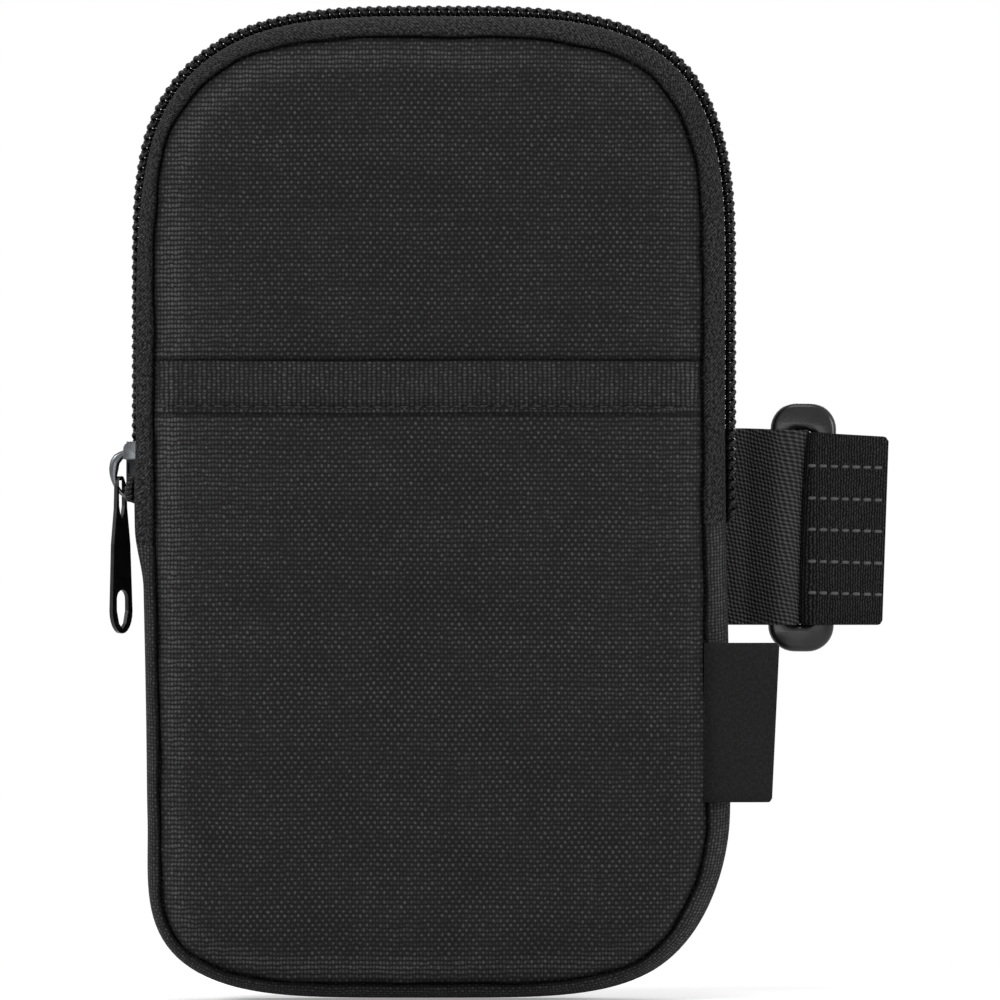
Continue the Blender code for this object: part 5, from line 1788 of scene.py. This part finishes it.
def make_label():
    """The folded woven tag in the right front seam, left bare."""
    seam = OUTLINE.at_height(LABEL_MID_Z, 1)
    root_x = OUTLINE.offset(seam, -FRONT_SEAM_INSET)[0] + FRONT_SHIFT_X + 0.3 * MM
    out_x = root_x + LABEL_REACH
    front = -FRONT_SEAM_DEPTH - 0.6 * MM
    line = [(root_x - 0.4 * MM, front + 0.6 * MM), (root_x + 3 * MM, front)]
    line += [(root_x + 8 * MM, front), (out_x, front + 0.9 * MM)]
    path = evenly(fillet(line, 3 * MM, 8), 0.5 * MM)
    low, high = LABEL_LOW_Z, LABEL_HIGH_Z
    ends = reshaped(low, high, level(low), level(high), out_x, 0.9 * MM)

    def bend(points):
        """Slants the tag's end, further in at its lower corner."""
        share = (points[:, :, 0] - root_x) / (out_x - root_x)
        fall = (points[:, :, 2] - high) / (high - low)
        ends(points)
        points[:, :, 0] += 1.4 * MM * fall * share**2
        return points

    tag = flat_ribbon("label_cover", path, LABEL, low, high, label_cloth(), divisions=16, bend=bend)
    fit(tag, "root", "label_tape", "side_label")


# Stage


# Each lamp's place, size across and power, and the point that it faces, in metres and watts
LAMPS = {
    "key_lamp": ((-0.85, -0.5, 0.55), 0.45, 7.8, (0, 0, 0)),
    "fill_lamp": ((0.9, -0.5, 0.2), 0.5, 5.6, (0, 0, 0)),
    "rear_lamp": ((0.1, 0.8, 0.6), 0.6, 5.0, (0, 0, 0)),
    "low_lamp": ((0.0, -0.8, -0.085), 0.3, 0.9, (0.0, 0.0, -0.09)),
    "top_lamp": ((0.0, -0.45, 0.95), 0.5, 3.4, (0.0, 0.0, 0.08)),
}
WORLD_LIGHT = 0.4
CAMERA_REACH = 2.5
CAMERA_X, CAMERA_Z = 13.0 * MM, 0.1 * MM
# The photo is this wide at this depth in front of the back, in metres
PHOTO_WIDTH, PHOTO_DEPTH = 0.197, 0.011
SENSOR = 36.0
WHITE, BLACK = (1, 1, 1, 1), (0, 0, 0, 1)
FLOOR_SIDE, FLOOR_NEAR_Y, FLOOR_FAR_Y = 0.9, -1.2, 0.12
FLOOR_COLOUR = (0.82, 0.82, 0.82, 1)
# The floor turns from its own colour to plain white light between these two distances
FLOOR_FADE_START, FLOOR_FADE = 0.3, 0.6


def straight_view(w):
    """1 on a ray that shows the background, straight or by way of gloss or clear pieces."""
    rays = w.node("ShaderNodeLightPath")
    seen = w.math("MAXIMUM", rays.outputs["Is Camera Ray"], rays.outputs["Is Glossy Ray"])
    return w.math("MAXIMUM", seen, rays.outputs["Is Transmission Ray"])


def floor_finish():
    """A matt pale floor that glows for the camera, more so further off."""
    material = bpy.data.materials.new("stage floor")
    material.use_nodes = True
    w = Wires(material.node_tree)
    shader = material.node_tree.nodes["Principled BSDF"]
    shader.inputs["Roughness"].default_value = 0.9
    shader.inputs["Specular IOR Level"].default_value = 0.0
    shader.inputs["Emission Color"].default_value = WHITE
    seen = straight_view(w)
    length = w.node("ShaderNodeVectorMath", operation="LENGTH")
    w.put(length.inputs[0], w.node("ShaderNodeTexCoord").outputs["Object"])
    far = w.minus(length.outputs["Value"], FLOOR_FADE_START)
    far = w.over(far, FLOOR_FADE, clamp=True)
    glow = w.plus(w.times(far, 0.7), 0.3)
    w.put(shader.inputs["Emission Strength"], w.times(seen, glow))
    w.put(shader.inputs["Base Color"], w.mix(far, FLOOR_COLOUR, BLACK))
    return material


def make_floor():
    """The pale floor just under the pouch, which keeps its shadow."""
    low_z = min(corner[2] for corner in CAD_BOX) - 0.4 * MM
    mesh = bpy.data.meshes.new("stage_floor")
    across = (-FLOOR_SIDE, FLOOR_SIDE, FLOOR_SIDE, -FLOOR_SIDE)
    along = (FLOOR_NEAR_Y, FLOOR_NEAR_Y, FLOOR_FAR_Y, FLOOR_FAR_Y)
    mesh.from_pydata([(x, y, low_z) for x, y in zip(across, along)], [], [(0, 1, 2, 3)])
    floor = linked("stage_floor", mesh)
    mesh.materials.append(floor_finish())


def make_lamps():
    """The lamps, each a soft disk that faces its point."""
    for name, (place, size, power, target) in LAMPS.items():
        lamp = bpy.data.lights.new(name, "AREA")
        lamp.shape = "DISK"
        lamp.size = size
        lamp.energy = power
        thing = linked(name, lamp)
        thing.location = place
        thing.rotation_euler = (Vector(target) - Vector(place)).to_track_quat("-Z", "Y").to_euler()


def make_world():
    """A low even light, which the camera sees as white."""
    world = bpy.data.worlds.new("studio")
    world.use_nodes = True
    bpy.context.scene.world = world
    w = Wires(world.node_tree)
    ground = world.node_tree.nodes["Background"]
    ground.inputs["Color"].default_value = WHITE
    strength = w.plus(w.times(straight_view(w), 1 - WORLD_LIGHT), WORLD_LIGHT)
    w.put(ground.inputs["Strength"], strength)


def make_camera():
    """The photo's own view of the pouch, straight from the front."""
    lens = bpy.data.cameras.new("photo_view")
    lens.sensor_width = SENSOR
    lens.lens = SENSOR * (CAMERA_REACH - PHOTO_DEPTH) / PHOTO_WIDTH
    lens.clip_end = 20.0
    camera = linked("photo_view", lens)
    camera.location = (CAMERA_X, -CAMERA_REACH, CAMERA_Z)
    camera.rotation_euler = (math.radians(90), 0, 0)
    bpy.context.scene.camera = camera
    bpy.context.scene.view_settings.view_transform = "Standard"


# Operators, panel and registration


DONE = {"FINISHED"}


class MakeFront(bpy.types.Operator):
    """Makes the padded front: its cloth, foam and lining"""

    bl_idname = "pouch.front"
    bl_label = "Front"

    def execute(self, context):
        make_front_skins()
        return DONE


class MakePocket(bpy.types.Operator):
    """Makes the front pocket, its hem and the hem's stitches"""

    bl_idname = "pouch.pocket"
    bl_label = "Front pocket"

    def execute(self, context):
        make_pocket_skins()
        return DONE


class MakeWall(bpy.types.Operator):
    """Makes the side wall: zip tapes, bottom gusset and seam bindings"""

    bl_idname = "pouch.wall"
    bl_label = "Side wall"

    def execute(self, context):
        make_tapes()
        make_gusset()
        make_bindings()
        return DONE


class MakeBack(bpy.types.Operator):
    """Makes the padded back: its cloth, foam and lining"""

    bl_idname = "pouch.back"
    bl_label = "Back"

    def execute(self, context):
        make_back_skins()
        return DONE


class MakeChain(bpy.types.Operator):
    """Makes the two rows of the zip's coil"""

    bl_idname = "pouch.chain"
    bl_label = "Zip coil"

    def execute(self, context):
        make_chain()
        return DONE


class MakeMetal(bpy.types.Operator):
    """Makes the slider and finishes its pull"""

    bl_idname = "pouch.metal"
    bl_label = "Slider and pull"

    def execute(self, context):
        make_slider()
        make_pull()
        return DONE


class MakeStrap(bpy.types.Operator):
    """Makes the webbing tab, the ring, the elastic band and the hook and loop patches"""

    bl_idname = "pouch.strap"
    bl_label = "Strap"

    def execute(self, context):
        make_webbing()
        make_ring()
        band = make_band()
        make_free_end()
        make_loop_patch()
        return DONE


class MakeLabel(bpy.types.Operator):
    """Makes the bare woven tag"""

    bl_idname = "pouch.label"
    bl_label = "Side tag"

    def execute(self, context):
        make_label()
        return DONE


class MakeStage(bpy.types.Operator):
    """Makes the floor, the light, the world and the camera"""

    bl_idname = "pouch.stage"
    bl_label = "Stage"

    def execute(self, context):
        make_floor()
        make_world()
        make_lamps()
        make_camera()
        return DONE


OPERATORS = (MakeFront, MakePocket, MakeWall, MakeBack, MakeChain, MakeMetal, MakeStrap, MakeLabel, MakeStage)


class PouchPanel(bpy.types.Panel):
    """Lists the pouch's sizes, colours and steps"""

    bl_idname = "VIEW3D_PT_pouch"
    bl_label = "Bottle pouch"
    bl_space_type = "VIEW_3D"
    bl_region_type = "UI"
    bl_category = "Pouch"

    def draw(self, context):
        for group in (context.scene.pouch_sizes, context.scene.pouch_colours):
            for name in group.__annotations__:
                self.layout.prop(group, name)
        for operator in OPERATORS:
            self.layout.operator(operator.bl_idname)


CLASSES = (PouchSizes, PouchColours, *OPERATORS, PouchPanel)


def register():
    for kind in CLASSES:
        bpy.utils.register_class(kind)
    bpy.types.Scene.pouch_sizes = PointerProperty(type=PouchSizes)
    bpy.types.Scene.pouch_colours = PointerProperty(type=PouchColours)


def unregister():
    del bpy.types.Scene.pouch_colours
    del bpy.types.Scene.pouch_sizes
    for kind in reversed(CLASSES):
        bpy.utils.unregister_class(kind)


def main():
    """Makes the pouch and its stage."""
    register()
    for operator in OPERATORS:
        group, name = operator.bl_idname.split(".")
        getattr(getattr(bpy.ops, group), name)()


if __name__ == "__main__":
    main()
